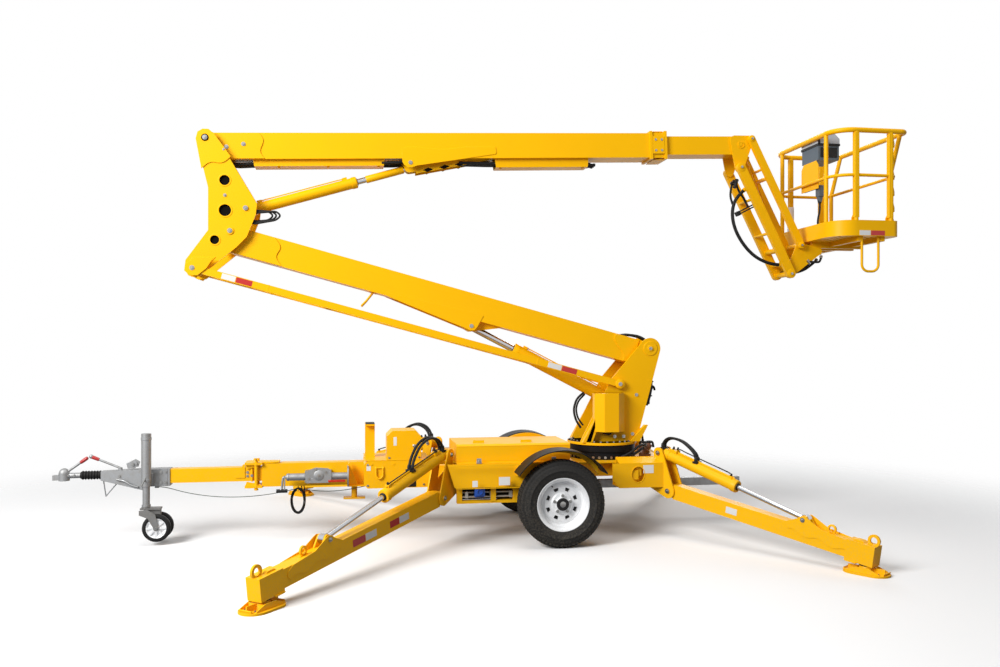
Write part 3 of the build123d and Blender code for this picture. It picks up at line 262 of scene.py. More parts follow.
# each turn of the hank: half width, half height, y
hank_turns = ((0.0600, 0.1075, -0.0605), (0.0575, 0.1040, -0.0700), (0.0590, 0.1065, -0.0795),
    (0.0485, 0.0950, -0.0750), (0.0475, 0.0960, -0.0650))
for turn, (wide, high, y) in enumerate(hank_turns):
    for step in range(steps_a_turn):
        swing = math.radians(20 - (step + (0 if turn else 1)) * 360 / steps_a_turn)
        lean = 0.004 * math.sin(2.3 * turn + 0.9)
        hank.append((hank_mid.x + wide * math.cos(swing) + lean * math.sin(swing), y,
                hank_mid.z + high * math.sin(swing)))
hank += [(-1.612, -0.0515, 0.375), (-1.618, -0.0500, 0.400), (-1.622, -0.0500, 0.426)]
supply = cord_curve("supply_cable", hank, 0.0045, rubber, "chassis")
supply_l = nurbs_length(supply)
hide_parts("cable_coil")
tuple(hank[0])

wire = [(-2.7526, -0.034, 0.442), (-2.7147, -0.034, 0.4392), (-2.6659, -0.034, 0.4278), (-2.6116, -0.034, 0.4103),
    (-2.5466, -0.034, 0.3916), (-2.4706, -0.034, 0.3741), (-2.3947, -0.034, 0.361), (-2.3188, -0.034, 0.351),
    (-2.2429, -0.034, 0.3449), (-2.167, -0.034, 0.3421), (-2.0911, -0.034, 0.3424), (-2.0152, -0.034, 0.3453),
    (-1.9392, -0.034, 0.3513), (-1.8687, -0.034, 0.3597), (-1.8037, -0.034, 0.3699), (-1.744, -0.034, 0.3811),
    (-1.6952, -0.034, 0.3913), (-1.6701, -0.034, 0.397), (-1.6281, -0.034, 0.397), (-1.5767, -0.034, 0.3889),
    (-1.5138, -0.034, 0.3774), (-1.4395, -0.034, 0.3703), (-1.3538, -0.034, 0.37), (-1.2738, -0.034, 0.3756),
    (-1.1995, -0.034, 0.3859), (-1.1366, -0.034, 0.3975), (-1.0909, -0.034, 0.4058), (-1.0566, -0.034, 0.407)]
brake_wire = cord_curve("brake_wire_run", wire, 0.003, wire_green, "chassis")
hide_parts("brake_wire")
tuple(wire[0])

loop = [(2.2661, -0.08, 2.9805), (2.2111, -0.08, 2.9295), (2.1741, -0.08, 2.8615), (2.1601, -0.08, 2.7845),
    (2.1671, -0.08, 2.7055), (2.1901, -0.08, 2.6295), (2.2261, -0.08, 2.5595), (2.2711, -0.08, 2.4945),
    (2.3241, -0.08, 2.4365), (2.3811, -0.08, 2.3905), (2.4441, -0.08, 2.3565), (2.5101, -0.08, 2.3335),
    (2.5721, -0.08, 2.3225), (2.6081, -0.08, 2.3205)]
jib_hose = cord_curve("jib_hose_loop", loop, 0.015, rubber, "jib_arm")
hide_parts("jib_hose")
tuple(loop[0])

# Paints and metals of the carried-over pieces: lift yellow, galvanised steel, chromed rods,
# black enamel, silver wheel paint and moulded plastics. Each places the worn-surface group.
yellow_paint = finish("yellow_paint", (0.97, 0.50, 0.0), 0.34, specular=0.16, shade=0.06, dust=0.22,
    dust_height=1.0, grain=0.05)
galvanised = finish("galvanised_steel", (0.36, 0.37, 0.38), 0.42, metallic=0.85, shade=0.35, roughness_shift=0.22,
    patch_scale=26.0, dust=0.15, grain=0.08)
chromed = finish("chromed_rod", (0.55, 0.57, 0.60), 0.12, metallic=1.0, shade=0.05, dust=0.05, grain=0.0)
black_paint = finish("black_paint", (0.007, 0.007, 0.008), 0.42, specular=0.14, shade=0.1, dust=0.03,
    dust_height=1.2, grain=0.04)
wheel_silver = finish("wheel_silver", (0.90, 0.91, 0.92), 0.3, metallic=0.15, coat=0.2, shade=0.08, dust=0.3,
    dust_height=0.9, grain=0.03)
grey_plastic = finish("grey_plastic", (0.09, 0.12, 0.15), 0.5, shade=0.12, grain=0.2, grain_scale=420.0, dust=0.1)
blue_plastic = finish("blue_plastic", (0.01, 0.08, 0.42), 0.36, shade=0.08, grain=0.1, dust=0.1)
node_paints = {galvanised: ("coupler_housing", "coupler_head", "jockey_stem", "tongue_jack", "axle"),
    black_paint: ("fenders", "slew_ring", "jockey_fork", "power_unit"),
    rubber: ("tyre_left", "tyre_right", "jockey_wheels", "coupler_bellows", "cable_coil", "brake_wire", "jib_hose"),
    wheel_silver: ("rim_left", "rim_right"), grey_plastic: ("console",), blue_plastic: ("power_inlet",)}
paint_of = {node: paint for paint, group in node_paints.items() for node in group}
for node, obj in nodes.items():
    paint = chromed if "rod" in node.split("_") else paint_of.get(node, yellow_paint)
    obj.data.materials.clear()
    obj.data.materials.append(paint)

# Road tyres: 15 inch radials on the two spindles. The carcass is turned, and a Geometry Nodes
# tree sets copies of one tread row round it, so that grooves stay open between the blocks.
def lathe(bm, profile, centre, axis, steps=48, closed=False):
    # profile is (along the axis, radius) from one end to the other
    turn = Vector((0, 0, 1)).rotation_difference(Vector(axis)).to_matrix()
    rings = []
    for along, radius in profile:
        if radius < 1e-6:
            rings.append([bm.verts.new(Vector(centre) + turn @ Vector((0, 0, along)))])
        else:
            rings.append([bm.verts.new(Vector(centre) + turn
                    @ Vector((radius * math.cos(math.tau * k / steps), radius * math.sin(math.tau * k / steps),
                    along))) for k in range(steps)])
    pairs = list(zip(rings, rings[1:])) + ([(rings[-1], rings[0])] if closed else [])
    for low, high in pairs:
        for k in range(steps):
            n = (k + 1) % steps
            ring = [low[k % len(low)], low[n % len(low)], high[n % len(high)], high[k % len(high)]]
            corners = [v for at, v in enumerate(ring) if v not in ring[:at]]
            if len(corners) > 2:
                bm.faces.new(corners)
    if not closed:
        for end, order in ((rings[0], -1), (rings[-1], 1)):
            if len(end) > 1:
                bm.faces.new(end[::order])


def made(name, bm, body, slot, paint, angle=35, bevel=0.0):
    bmesh.ops.recalc_face_normals(bm, faces=bm.faces)
    mesh = bpy.data.meshes.new(name)
    bm.to_mesh(mesh)
    bm.free()
    mesh.shade_smooth()
    mesh.set_sharp_from_angle(angle=math.radians(angle))
    piece = bpy.data.objects.new(name, mesh)
    scene.collection.objects.link(piece)
    mesh.materials.append(paint)
    if bevel:
        edge = piece.modifiers.new("edges", "BEVEL")
        edge.width, edge.segments, edge.limit_method, edge.angle_limit = bevel, 2, "ANGLE", math.radians(40)
        edge.harden_normals = True
    if body:
        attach(piece, body)
    return piece


def node_tree(name, inputs):
    tree = bpy.data.node_groups.new(name, "GeometryNodeTree")
    tree.interface.new_socket(name="Geometry", in_out="INPUT", socket_type="NodeSocketGeometry")
    for label, kind in inputs:
        tree.interface.new_socket(name=label, in_out="INPUT", socket_type=kind)
    tree.interface.new_socket(name="Geometry", in_out="OUTPUT", socket_type="NodeSocketGeometry")
    return tree, tree.nodes.new("NodeGroupInput"), tree.nodes.new("NodeGroupOutput")


turned_copies, given, result = node_tree("turned copies",
    (("Count", "NodeSocketInt"), ("Axis", "NodeSocketVector"), ("Centre", "NodeSocketVector"),
        ("Paint", "NodeSocketMaterial")))
g, join = turned_copies.nodes, turned_copies.links.new
spots = g.new("GeometryNodePoints")
index = g.new("GeometryNodeInputIndex")
share = g.new("ShaderNodeMath")
share.operation = "DIVIDE"
angle = g.new("ShaderNodeMath")
angle.operation, angle.inputs[1].default_value = "MULTIPLY", math.tau
turn_by = g.new("ShaderNodeVectorMath")
turn_by.operation = "SCALE"
copies = g.new("GeometryNodeInstanceOnPoints")
placed = g.new("GeometryNodeTransform")
real = g.new("GeometryNodeRealizeInstances")
painted = g.new("GeometryNodeSetMaterial")
join(given.outputs["Count"], spots.inputs["Count"])
join(index.outputs[0], share.inputs[0])
join(given.outputs["Count"], share.inputs[1])
join(share.outputs[0], angle.inputs[0])
join(given.outputs["Axis"], turn_by.inputs[0])
join(angle.outputs[0], turn_by.inputs["Scale"])
join(spots.outputs[0], copies.inputs["Points"])
join(given.outputs["Geometry"], copies.inputs["Instance"])
join(turn_by.outputs[0], copies.inputs["Rotation"])
join(copies.outputs[0], placed.inputs["Geometry"])
join(given.outputs["Centre"], placed.inputs["Translation"])
join(placed.outputs[0], real.inputs[0])
join(real.outputs[0], painted.inputs["Geometry"])
join(given.outputs["Paint"], painted.inputs["Material"])
join(painted.outputs[0], result.inputs[0])


def realized(name, seed, tree, body, slot, paint, angle, values):
    # runs the tree on the seed object and keeps the mesh that comes out as the piece
    grow = seed.modifiers.new("grow", "NODES")
    grow.node_group = tree
    sockets = {item.name: item.identifier for item in tree.interface.items_tree if item.in_out == "INPUT"}
    for label, value in {**values, "Paint": paint}.items():
        grow[sockets[label]] = value
    bpy.context.view_layer.update()
    mesh = bpy.data.meshes.new_from_object(seed.evaluated_get(bpy.context.evaluated_depsgraph_get()))
    seed.modifiers.clear()
    bpy.data.objects.remove(seed)
    mesh.name = name
    mesh.shade_smooth()
    mesh.set_sharp_from_angle(angle=math.radians(angle))
    piece = bpy.data.objects.new(name, mesh)
    scene.collection.objects.link(piece)
    if not mesh.materials:
        mesh.materials.append(paint)
    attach(piece, body)


def grown(name, bm, tree, body, slot, paint, angle=35, **values):
    realized(name, made(name + "_seed", bm, None, None, paint), tree, body, slot, paint, angle, values)


tyre_paint = finish("tyre_rubber", (0.016, 0.0155, 0.015), 0.68, specular=0.25, shade=0.15, roughness_shift=0.15,
    dust=0.3, dust_height=0.7, grain=0.3, grain_scale=260.0, patch_scale=7.0)
wheel_x, wheel_z, tread_rows = 0.4219, 0.344, 64
for side, tag in ((-1, "left"), (1, "right")):
    centre = (wheel_x, side * 0.75, wheel_z)
    bm = bmesh.new()
    wall = [(0.074, 0.197), (0.081, 0.204), (0.088, 0.210), (0.0935, 0.222), (0.0985, 0.240), (0.0995, 0.262),
        (0.1015, 0.264), (0.1015, 0.268), (0.0990, 0.271), (0.0975, 0.290), (0.0930, 0.310), (0.0900, 0.312),
        (0.0880, 0.322), (0.084, 0.3325), (0.072, 0.3345)]
    lathe(bm, [(-a, r) for a, r in wall] + [(a, r) for a, r in reversed(wall)], centre, (0, side, 0), 96,
        closed=True)
    carcass = made("tyre_carcass_" + tag, bm, "wheel_" + tag, "tyre", tyre_paint, 60)
    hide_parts("tyre_" + tag)
    bm = bmesh.new()
    pitch = math.tau / tread_rows
    # each block: side to side from and to, share of the pitch from and to, skew, top radius
    for y0, y1, a0, a1, skew, top in ((-0.0935, -0.0640, 0.06, 0.78, 0.10, 0.3395),
        (-0.0560, -0.0300, 0.00, 0.84, 0.22, 0.3432), (-0.0230, -0.0030, 0.12, 0.92, 0.10, 0.3438),
        (0.0030, 0.0230, 0.42, 1.22, -0.10, 0.3438), (0.0300, 0.0560, 0.25, 1.09, -0.22, 0.3432),
        (0.0640, 0.0935, 0.40, 1.12, -0.10, 0.3395)):
        low = 0.316 if abs(y0 + y1) > 0.14 else 0.330
        ring = []
        for a_share, y, r in ((a0, y0, low), (a1, y0, low), (a1 + skew, y1, low), (a0 + skew, y1, low)):
            ring.append((a_share, y, r if abs(y) < 0.09 else low - 0.004))
        lift = []
        for a_share, y, r in ring:
            inner = 0.0025 / 0.34 / pitch
            a_in = a_share + (inner if a_share < (a0 + a1) / 2 + (skew if y == y1 else 0) else -inner)
            lift.append((a_in, y * (0.985 if abs(y) > 0.06 else 1.0), top if abs(y) < 0.09 else top - 0.012))
        spots_of = [bm.verts.new((r * math.sin(s * pitch), y, r * math.cos(s * pitch))) for s, y, r in ring + lift]
        bm.faces.new(spots_of[4:])
        bm.faces.new(spots_of[3::-1])
        for k in range(4):
            n = (k + 1) % 4
            bm.faces.new((spots_of[k], spots_of[n], spots_of[n + 4], spots_of[k + 4]))
    grown("tyre_tread_" + tag, bm, turned_copies, "wheel_" + tag, "tyre", tyre_paint, 30, Count=tread_rows,
        Axis=(0, 1, 0), Centre=centre)

# Wheels: silver painted steel discs with eight windows. A turned rim edge, a black centre cap
# with a bright middle, five plated nuts and a valve are added to the pressed disc.
plated = finish("plated_steel", (0.40, 0.40, 0.39), 0.26, metallic=1.0, shade=0.15, patch_scale=40.0, dust=0.15,
    grain=0.03)
cap_black = finish("cap_black", (0.010, 0.010, 0.011), 0.4, specular=0.25, shade=0.1, dust=0.06, grain=0.06)
for side, tag in ((-1, "left"), (1, "right")):
    centre = Vector((wheel_x, side * 0.75, wheel_z))
    bm = bmesh.new()
    lathe(bm, [(0.0700, 0.1800), (0.0790, 0.1830), (0.0880, 0.1960), (0.0925, 0.2040), (0.0935, 0.2085),
            (0.0915, 0.2095), (0.0870, 0.2055), (0.0780, 0.1975), (0.0680, 0.1945)], centre, (0, side, 0), 96,
        closed=True)
    lathe(bm, [(0.0200, 0.1530), (0.0260, 0.1520), (0.0285, 0.1490), (0.0260, 0.1455), (0.0200, 0.1445)], centre,
        (0, side, 0), 72, closed=True)
    made("rim_edge_" + tag, bm, "wheel_" + tag, "rim", wheel_silver, 40)
    bm = bmesh.new()
    lathe(bm, [(0.0560, 0.0500), (0.0700, 0.0500), (0.0745, 0.0470), (0.0765, 0.0400), (0.0750, 0.0350),
            (0.0760, 0.0300), (0.0730, 0)], centre, (0, side, 0), 40)
    made("hub_cap_" + tag, bm, "wheel_" + tag, "black", cap_black, 40)
    bm = bmesh.new()
    lathe(bm, [(0.0740, 0.0240), (0.0775, 0.0230), (0.0790, 0.0190), (0.0782, 0)], centre, (0, side, 0), 32)
    made("hub_badge_blank_" + tag, bm, "wheel_" + tag, "chrome", plated, 40)
    bm = bmesh.new()
    nut_at = Vector((0.067 * math.cos(0.3), side * 0.056, 0.067 * math.sin(0.3)))
    lathe(bm, [(-0.002, 0.0110), (0.002, 0.0128), (0.004, 0.0128)], nut_at, (0, side, 0), 16)
    lathe(bm, [(0.003, 0.0100), (0.0140, 0.0100), (0.0165, 0.0080), (0.0172, 0)], nut_at, (0, side, 0), 6)
    grown("lug_nuts_" + tag, bm, turned_copies, "wheel_" + tag, "chrome", plated, 30, Count=5, Axis=(0, 1, 0),
        Centre=centre)
    bm = bmesh.new()
    lathe(bm, [(0.028, 0.0040), (0.040, 0.0036), (0.042, 0.0048), (0.058, 0.0046), (0.060, 0.0030), (0.0605, 0)],
        centre + Vector((0.160 * math.cos(2.1), 0, 0.160 * math.sin(2.1))), (0, side, 0), 12)
    made("tyre_valve_" + tag, bm, "wheel_" + tag, "black", cap_black, 40)

# Brake drums and fender edges: a dark drum fills each wheel behind its windows, and the thin
# rolled fenders of black plate get a rounded bead along both edges.
def box_on(bm, x0, x1, y0, y1, z0, z1):
    corners = [bm.verts.new((x, y, z)) for z in (z0, z1) for x, y in ((x0, y0), (x1, y0), (x1, y1), (x0, y1))]
    for face in ((3, 2, 1, 0), (4, 5, 6, 7), (0, 1, 5, 4), (1, 2, 6, 5), (2, 3, 7, 6), (3, 0, 4, 7)):
        bm.faces.new([corners[k] for k in face])


def sheet_on(bm, outline, y0, y1):
    # an upright plate of that side outline, from y0 to y1
    near = [bm.verts.new((x, y0, z)) for x, z in outline]
    far = [bm.verts.new((x, y1, z)) for x, z in outline]
    bm.faces.new(near)
    bm.faces.new(far[::-1])
    for k in range(len(outline)):
        n = (k + 1) % len(outline)
        bm.faces.new((near[k], far[k], far[n], near[n]))


def tube_on(bm, points, radius, sides=12, bend=0.0):
    # a capped round tube along the points, with its corners rounded by bend
    points = [Vector(p) for p in points]
    line = [points[0]]
    for a, b, c in zip(points, points[1:], points[2:]):
        cut = min(bend, (a - b).length * 0.45, (c - b).length * 0.45)
        if cut < 1e-4:
            line.append(b)
            continue
        p, q = b + (a - b).normalized() * cut, b + (c - b).normalized() * cut
        line += [p * (1 - t) ** 2 + b * 2 * t * (1 - t) + q * t ** 2 for t in (0, 0.2, 0.4, 0.6, 0.8, 1)]
    line.append(points[-1])
    side = (line[1] - line[0]).orthogonal().normalized()
    rings = []
    for k, spot in enumerate(line):
        ahead = ((line[min(k + 1, len(line) - 1)] - spot).normalized()
            + (spot - line[max(k - 1, 0)]).normalized()).normalized()
        side = (side - ahead * side.dot(ahead)).normalized()
        other = ahead.cross(side)
        rings.append([bm.verts.new(spot + (side * math.cos(math.tau * j / sides)
                + other * math.sin(math.tau * j / sides)) * radius) for j in range(sides)])
    for low, high in zip(rings, rings[1:]):
        for j in range(sides):
            n = (j + 1) % sides
            bm.faces.new((low[j], low[n], high[n], high[j]))
    bm.faces.new(rings[0][::-1])
    bm.faces.new(rings[-1])


for side, tag in ((-1, "left"), (1, "right")):
    bm = bmesh.new()
    lathe(bm, [(-0.060, 0.120), (-0.020, 0.140), (0.004, 0.140), (0.007, 0.134), (0.007, 0.05)],
        (wheel_x, side * 0.75, wheel_z), (0, side, 0), 48)
    made("brake_drum_" + tag, bm, "wheel_" + tag, "black", cap_black, 40)
    bm = bmesh.new()
    for y in (0.641, 0.859):
        arc = [(wheel_x + 0.425 * math.cos(math.radians(a)), side * y, wheel_z + 0.425 * math.sin(math.radians(a)))
            for a in range(36, 147, 5)]
        tube_on(bm, arc, 0.004, 8)
    made("fender_bead_" + tag, bm, "chassis", "black", black_paint, 50)

# Fasteners: plated hexagon heads on washers. One Geometry Nodes tree sets a washer and a head
# on each point, turned along the point's aim, for every joint of the lift.
heads_tree, given, result = node_tree("bolt heads",
    (("Width", "NodeSocketFloat"), ("Height", "NodeSocketFloat"), ("Paint", "NodeSocketMaterial")))
g, join = heads_tree.nodes, heads_tree.links.new
parts_of_head = g.new("GeometryNodeJoinGeometry")
for sides, wide, tall, lift in ((6, 1.0, 1.0, 0.5), (20, 1.35, 0.28, 0.14), (14, 0.52, 1.5, 0.75)):
    form = g.new("GeometryNodeMeshCylinder")
    form.inputs["Vertices"].default_value = sides
    form.fill_type = "NGON"
    raised = g.new("ShaderNodeCombineXYZ")
    move = g.new("GeometryNodeTransform")
    for label, factor, target in (("Width", wide * 0.5, form.inputs["Radius"]),
        ("Height", tall, form.inputs["Depth"]), ("Height", lift, raised.inputs["Z"])):
        times = g.new("ShaderNodeMath")
        times.operation, times.inputs[1].default_value = "MULTIPLY", factor
        join(given.outputs[label], times.inputs[0])
        join(times.outputs[0], target)
    join(form.outputs["Mesh"], move.inputs["Geometry"])
    join(raised.outputs[0], move.inputs["Translation"])
    join(move.outputs[0], parts_of_head.inputs[0])
aim = g.new("GeometryNodeInputNamedAttribute")
aim.data_type, aim.inputs["Name"].default_value = "FLOAT_VECTOR", "aim"
facing = g.new("FunctionNodeAlignEulerToVector")
facing.axis = "Z"
copies = g.new("GeometryNodeInstanceOnPoints")
real = g.new("GeometryNodeRealizeInstances")
painted = g.new("GeometryNodeSetMaterial")
join(aim.outputs["Attribute"], facing.inputs["Vector"])
join(given.outputs["Geometry"], copies.inputs["Points"])
join(parts_of_head.outputs[0], copies.inputs["Instance"])
join(facing.outputs[0], copies.inputs["Rotation"])
join(copies.outputs[0], real.inputs[0])
join(real.outputs[0], painted.inputs["Geometry"])
join(given.outputs["Paint"], painted.inputs["Material"])
join(painted.outputs[0], result.inputs[0])


def bolts(name, body, spots_and_aims, width, height):
    seed = bpy.data.meshes.new(name + "_points")
    seed.from_pydata([spot for spot, _ in spots_and_aims], [], [])
    marks = seed.attributes.new("aim", "FLOAT_VECTOR", "POINT")
    for k, (_, toward) in enumerate(spots_and_aims):
        marks.data[k].vector = toward
    seed.materials.append(plated)
    carrier = bpy.data.objects.new(name + "_points", seed)
    scene.collection.objects.link(carrier)
    realized(name, carrier, heads_tree, body, "steel", plated, 35, {"Width": width, "Height": height})


near, far, up, ahead, behind = (0, -1, 0), (0, 1, 0), (0, 0, 1), (1, 0, 0), (-1, 0, 0)

# Coupler end of the tongue: rubber bellows over the overrun shaft, dark grips on the ball
# handle and brake lever, a strap and four bolts through the galvanised housing.
red_plastic = finish("red_plastic", (0.42, 0.012, 0.010), 0.3, coat=0.3, shade=0.1, dust=0.15, grain=0.03)
coupler_z, housing_x = 0.545, -3.198
bm = bmesh.new()
folds = [(-0.160, 0.026), (-0.158, 0.0285)]
for k in range(7):
    at = -0.154 + k * 0.0218
    folds += [(at, 0.0270), (at + 0.0045, 0.0330), (at + 0.0095, 0.0358), (at + 0.0125, 0.0358),
        (at + 0.0175, 0.0325), (at + 0.0200, 0.0272)]
folds += [(-0.001, 0.0285), (0.0, 0.026)]
lathe(bm, folds, (housing_x, 0, coupler_z), ahead, 40)
bellows = made("bellows", bm, "chassis", "rubber", rubber, 70)
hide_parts("coupler_bellows")
bm = bmesh.new()
for end, toward in (((-3.318, 0, 0.677), (0.81, 0, 0.59)), ((-3.266, 0, 0.688), (-0.92, 0, 0.39))):
    lathe(bm, [(-0.052, 0.010), (-0.050, 0.0135), (-0.030, 0.0145), (0.000, 0.0150), (0.012, 0.0135),
            (0.018, 0.0080), (0.0195, 0)], end, toward, 20)
made("lever_grips", bm, "chassis", "plastic", red_plastic, 50)
bm = bmesh.new()
sheet_on(bm, [(-2.990, 0.598), (-2.930, 0.598), (-2.915, 0.640), (-2.950, 0.662), (-3.000, 0.640)], -0.052, -0.046)
sheet_on(bm, [(-2.990, 0.598), (-2.930, 0.598), (-2.915, 0.640), (-2.950, 0.662), (-3.000, 0.640)], 0.046, 0.052)
sheet_on(bm, [(-2.745, 0.452), (-2.680, 0.452), (-2.680, 0.592), (-2.745, 0.592)], -0.064, -0.0595)
tube_on(bm, [(-2.948, -0.056, 0.630), (-2.948, 0.056, 0.630)], 0.009, 12)
tube_on(bm, [(-3.075, -0.050, 0.512), (-3.010, -0.066, 0.500), (-2.955, -0.070, 0.462), (-2.905, -0.066, 0.448)],
    0.008, 10, 0.02)
made("coupler_straps", bm, "chassis", "steel", galvanised, 40, bevel=0.0015)
bolts("coupler_bolts", "chassis", [((x, -0.064, z), near) for x in (-2.730, -2.695) for z in (0.480, 0.565)]
    + [((x, 0.060, z), far) for x in (-2.860, -2.695) for z in (0.480, 0.565)]
    + [((-3.05, -0.046, 0.535), near), ((-2.948, -0.058, 0.630), near)], 0.019, 0.009)
bolts("shaft_bolts", "chassis", [((x, -0.021, 0.548), near) for x in (-3.445, -3.400)]
    + [((x, 0.021, 0.548), far) for x in (-3.445, -3.400)], 0.015, 0.007)

# Jockey wheel: galvanised tube with a plastic cap and clamp screw, pressed steel fork sides,
# and twin grey hubs with solid rubber tyres.
jockey_at = Vector((-2.8281, -0.138, 0))
bm = bmesh.new()
lathe(bm, [(0.880, 0.0375), (0.8855, 0.0365), (0.8862, 0.030), (0.8862, 0)], jockey_at, up, 32)
for z in (0.515, 0.845):
    lathe(bm, [(z - 0.012, 0.0381), (z - 0.010, 0.0405), (z + 0.010, 0.0405), (z + 0.012, 0.0381)], jockey_at, up,
        32)
lathe(bm, [(0.300, 0.0281), (0.303, 0.0345), (0.318, 0.0345), (0.321, 0.0281)], jockey_at, up, 28)
made("jockey_bands", bm, "chassis", "steel", galvanised, 40)
bm = bmesh.new()
tube_on(bm, [(-2.828, -0.176, 0.515), (-2.828, -0.232, 0.515)], 0.007, 12)
tube_on(bm, [(-2.845, -0.229, 0.481), (-2.811, -0.229, 0.549)], 0.006, 12)
made("jockey_clamp_screw", bm, "chassis", "steel", plated, 40)
fork_grey = finish("fork_grey", (0.22, 0.22, 0.22), 0.42, metallic=0.5, shade=0.3, patch_scale=20.0, dust=0.4,
    grain=0.08)
nodes["jockey_fork"].data.materials[0] = fork_grey
bm = bmesh.new()
hub_x, hub_z = -2.7381, 0.140
for y in (-0.138 - 0.031 - 0.056, -0.138 + 0.031 + 0.051):
    sheet_on(bm, [(-2.866, 0.285), (-2.800, 0.288), (-2.742, 0.250), (-2.716, 0.150), (-2.722, 0.124),
            (-2.752, 0.122), (-2.762, 0.150), (-2.800, 0.220), (-2.866, 0.248)], y, y + 0.005)
made("fork_cheeks", bm, "jockey_fork", "steel", fork_grey, 40, bevel=0.0015)
for y0, tag in ((-0.107, "far"), (-0.219, "near")):
    bm = bmesh.new()
    lathe(bm, [(0.006, 0.076), (0.004, 0.084), (0.003, 0.098), (0.008, 0.106), (0.016, 0.1095), (0.034, 0.1095),
            (0.042, 0.106), (0.047, 0.098), (0.046, 0.084), (0.044, 0.076)], (hub_x, y0, hub_z), far, 56,
        closed=True)
    made("jockey_tyre_" + tag, bm, "jockey_wheels", "rubber", rubber, 50)
    bm = bmesh.new()
    lathe(bm, [(0.003, 0.012), (0.001, 0.026), (0.009, 0.034), (0.014, 0.060), (0.006, 0.073), (0.004, 0.078),
            (0.046, 0.078), (0.044, 0.073), (0.036, 0.060), (0.041, 0.034), (0.049, 0.026), (0.047, 0.012)],
        (hub_x, y0, hub_z), far, 48, closed=True)
    hub = made("jockey_hub_" + tag, bm, "jockey_wheels", "steel", wheel_silver, 40)
    if tag == "near":
        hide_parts("jockey_wheels")
    bm = bmesh.new()
    for y in ((0.004, 0.010), (0.040, 0.046)):
        sheet_on(bm, [(hub_x + a, hub_z + b) for a, b in ((-0.006, 0.028), (0.006, 0.028), (0.009, 0.072),
                (-0.009, 0.072))], y0 + y[0], y0 + y[1])
    for v in bm.verts:
        v.co -= Vector((hub_x, 0, hub_z))
    grown("jockey_spokes_" + tag, bm, turned_copies, "jockey_wheels", "steel", wheel_silver, 30, Count=8,
        Axis=(0, 1, 0), Centre=(hub_x, 0, hub_z))
bolts("jockey_axle_ends", "jockey_fork", [((hub_x, -0.2250, hub_z), near), ((hub_x, -0.0515, hub_z), far)], 0.018,
    0.008)

# Tow beam: yellow box beam with a folding hinge, its drop pins with handles, a stowed screw
# jack on a bracket, a triangular gusset and the small shackle that the hank hook hangs by.
bm = bmesh.new()
hinge_x = -1.9841
for y in (-0.072, 0.072):
    lathe(bm, [(0.3985, 0.0120), (0.4005, 0.0175), (0.4085, 0.0175), (0.4100, 0.0142)], (hinge_x, y, 0), up, 20)
    for z in (0.4295, 0.6135):
        lathe(bm, [(z - 0.010, 0.0142), (z - 0.009, 0.0210), (z + 0.009, 0.0210), (z + 0.010, 0.0142)],
            (hinge_x, y, 0), up, 24)
tube_on(bm, [(hinge_x, -0.072, 0.640), (hinge_x, -0.072, 0.656), (hinge_x - 0.010, -0.115, 0.660)], 0.008, 12,
    0.012)
tube_on(bm, [(hinge_x - 0.035, -0.060, 0.470), (hinge_x - 0.035, -0.060, 0.575)], 0.009, 12)
sheet_on(bm, [(-2.150, 0.500), (-2.075, 0.500), (-2.075, 0.612), (-2.090, 0.612)], -0.056, -0.050)
sheet_on(bm, [(-2.075, 0.612), (-1.9450, 0.612), (-1.9450, 0.598), (-2.060, 0.575)], -0.068, -0.061)
sheet_on(bm, [(-2.075, 0.430), (-1.9450, 0.430), (-1.9450, 0.444), (-2.060, 0.470)], -0.068, -0.061)
sheet_on(bm, [(-1.9400, 0.630), (-1.800, 0.630), (-1.800, 0.622), (-1.9400, 0.615)], -0.055, 0.055)
made("hinge_details", bm, "chassis", "yellow", yellow_paint, 40, bevel=0.0015)
bm = bmesh.new()
sheet_on(bm, [(-1.228, 0.430), (-1.158, 0.430), (-1.228, 0.600)], -0.140, -0.134)
sheet_on(bm, [(-1.2400, 0.425), (-1.2290, 0.425), (-1.2290, 0.618), (-1.2400, 0.612)], -0.175, -0.095)
sheet_on(bm, [(-1.2400, 0.425), (-1.1000, 0.425), (-1.1000, 0.431), (-1.2400, 0.431)], -0.175, -0.060)
made("beam_gusset", bm, "chassis", "yellow", yellow_paint, 40, bevel=0.001)
bm = bmesh.new()
jack_y, jack_z = -0.150, 0.512
lathe(bm, [(-1.7390, 0.013), (-1.7370, 0.024), (-1.7290, 0.0300), (-1.7180, 0.0310), (-1.7150, 0.0292)],
    (0, jack_y, jack_z), ahead, 28)
for at in (-1.60, -1.52, -1.44, -1.36):
    lathe(bm, [(at - 0.006, 0.0292), (at - 0.005, 0.0308), (at + 0.005, 0.0308), (at + 0.006, 0.0292)],
        (0, jack_y, jack_z), ahead, 28)
sheet_on(bm, [(-1.575, 0.464), (-1.395, 0.464), (-1.375, 0.490), (-1.375, 0.560), (-1.400, 0.582), (-1.500, 0.590),
        (-1.560, 0.570), (-1.590, 0.530)], -0.188, -0.180)
lathe(bm, [(0.0, 0.036), (0.004, 0.042), (0.010, 0.042), (0.014, 0.034)], (-1.475, -0.180, 0.526), near, 28)
tube_on(bm, [(-1.745, jack_y, jack_z), (-1.762, jack_y, jack_z), (-1.768, jack_y, 0.480), (-1.772, jack_y, 0.420),
        (-1.790, jack_y, 0.405)], 0.0085, 12, 0.02)
made("jack_details", bm, "chassis", "steel", galvanised, 40, bevel=0.0012)
bm = bmesh.new()
lathe(bm, [(-0.052, 0.010), (-0.050, 0.0148), (0.030, 0.0155), (0.036, 0.0148), (0.038, 0)],
    (-1.7795, jack_y, 0.400), behind, 20)
made("jack_grip", bm, "chassis", "black", cap_black, 50)
reflector = finish("red_reflector", (0.55, 0.010, 0.008), 0.12, coat=0.6, shade=0.05, dust=0.1, grain=0.0)
bm = bmesh.new()
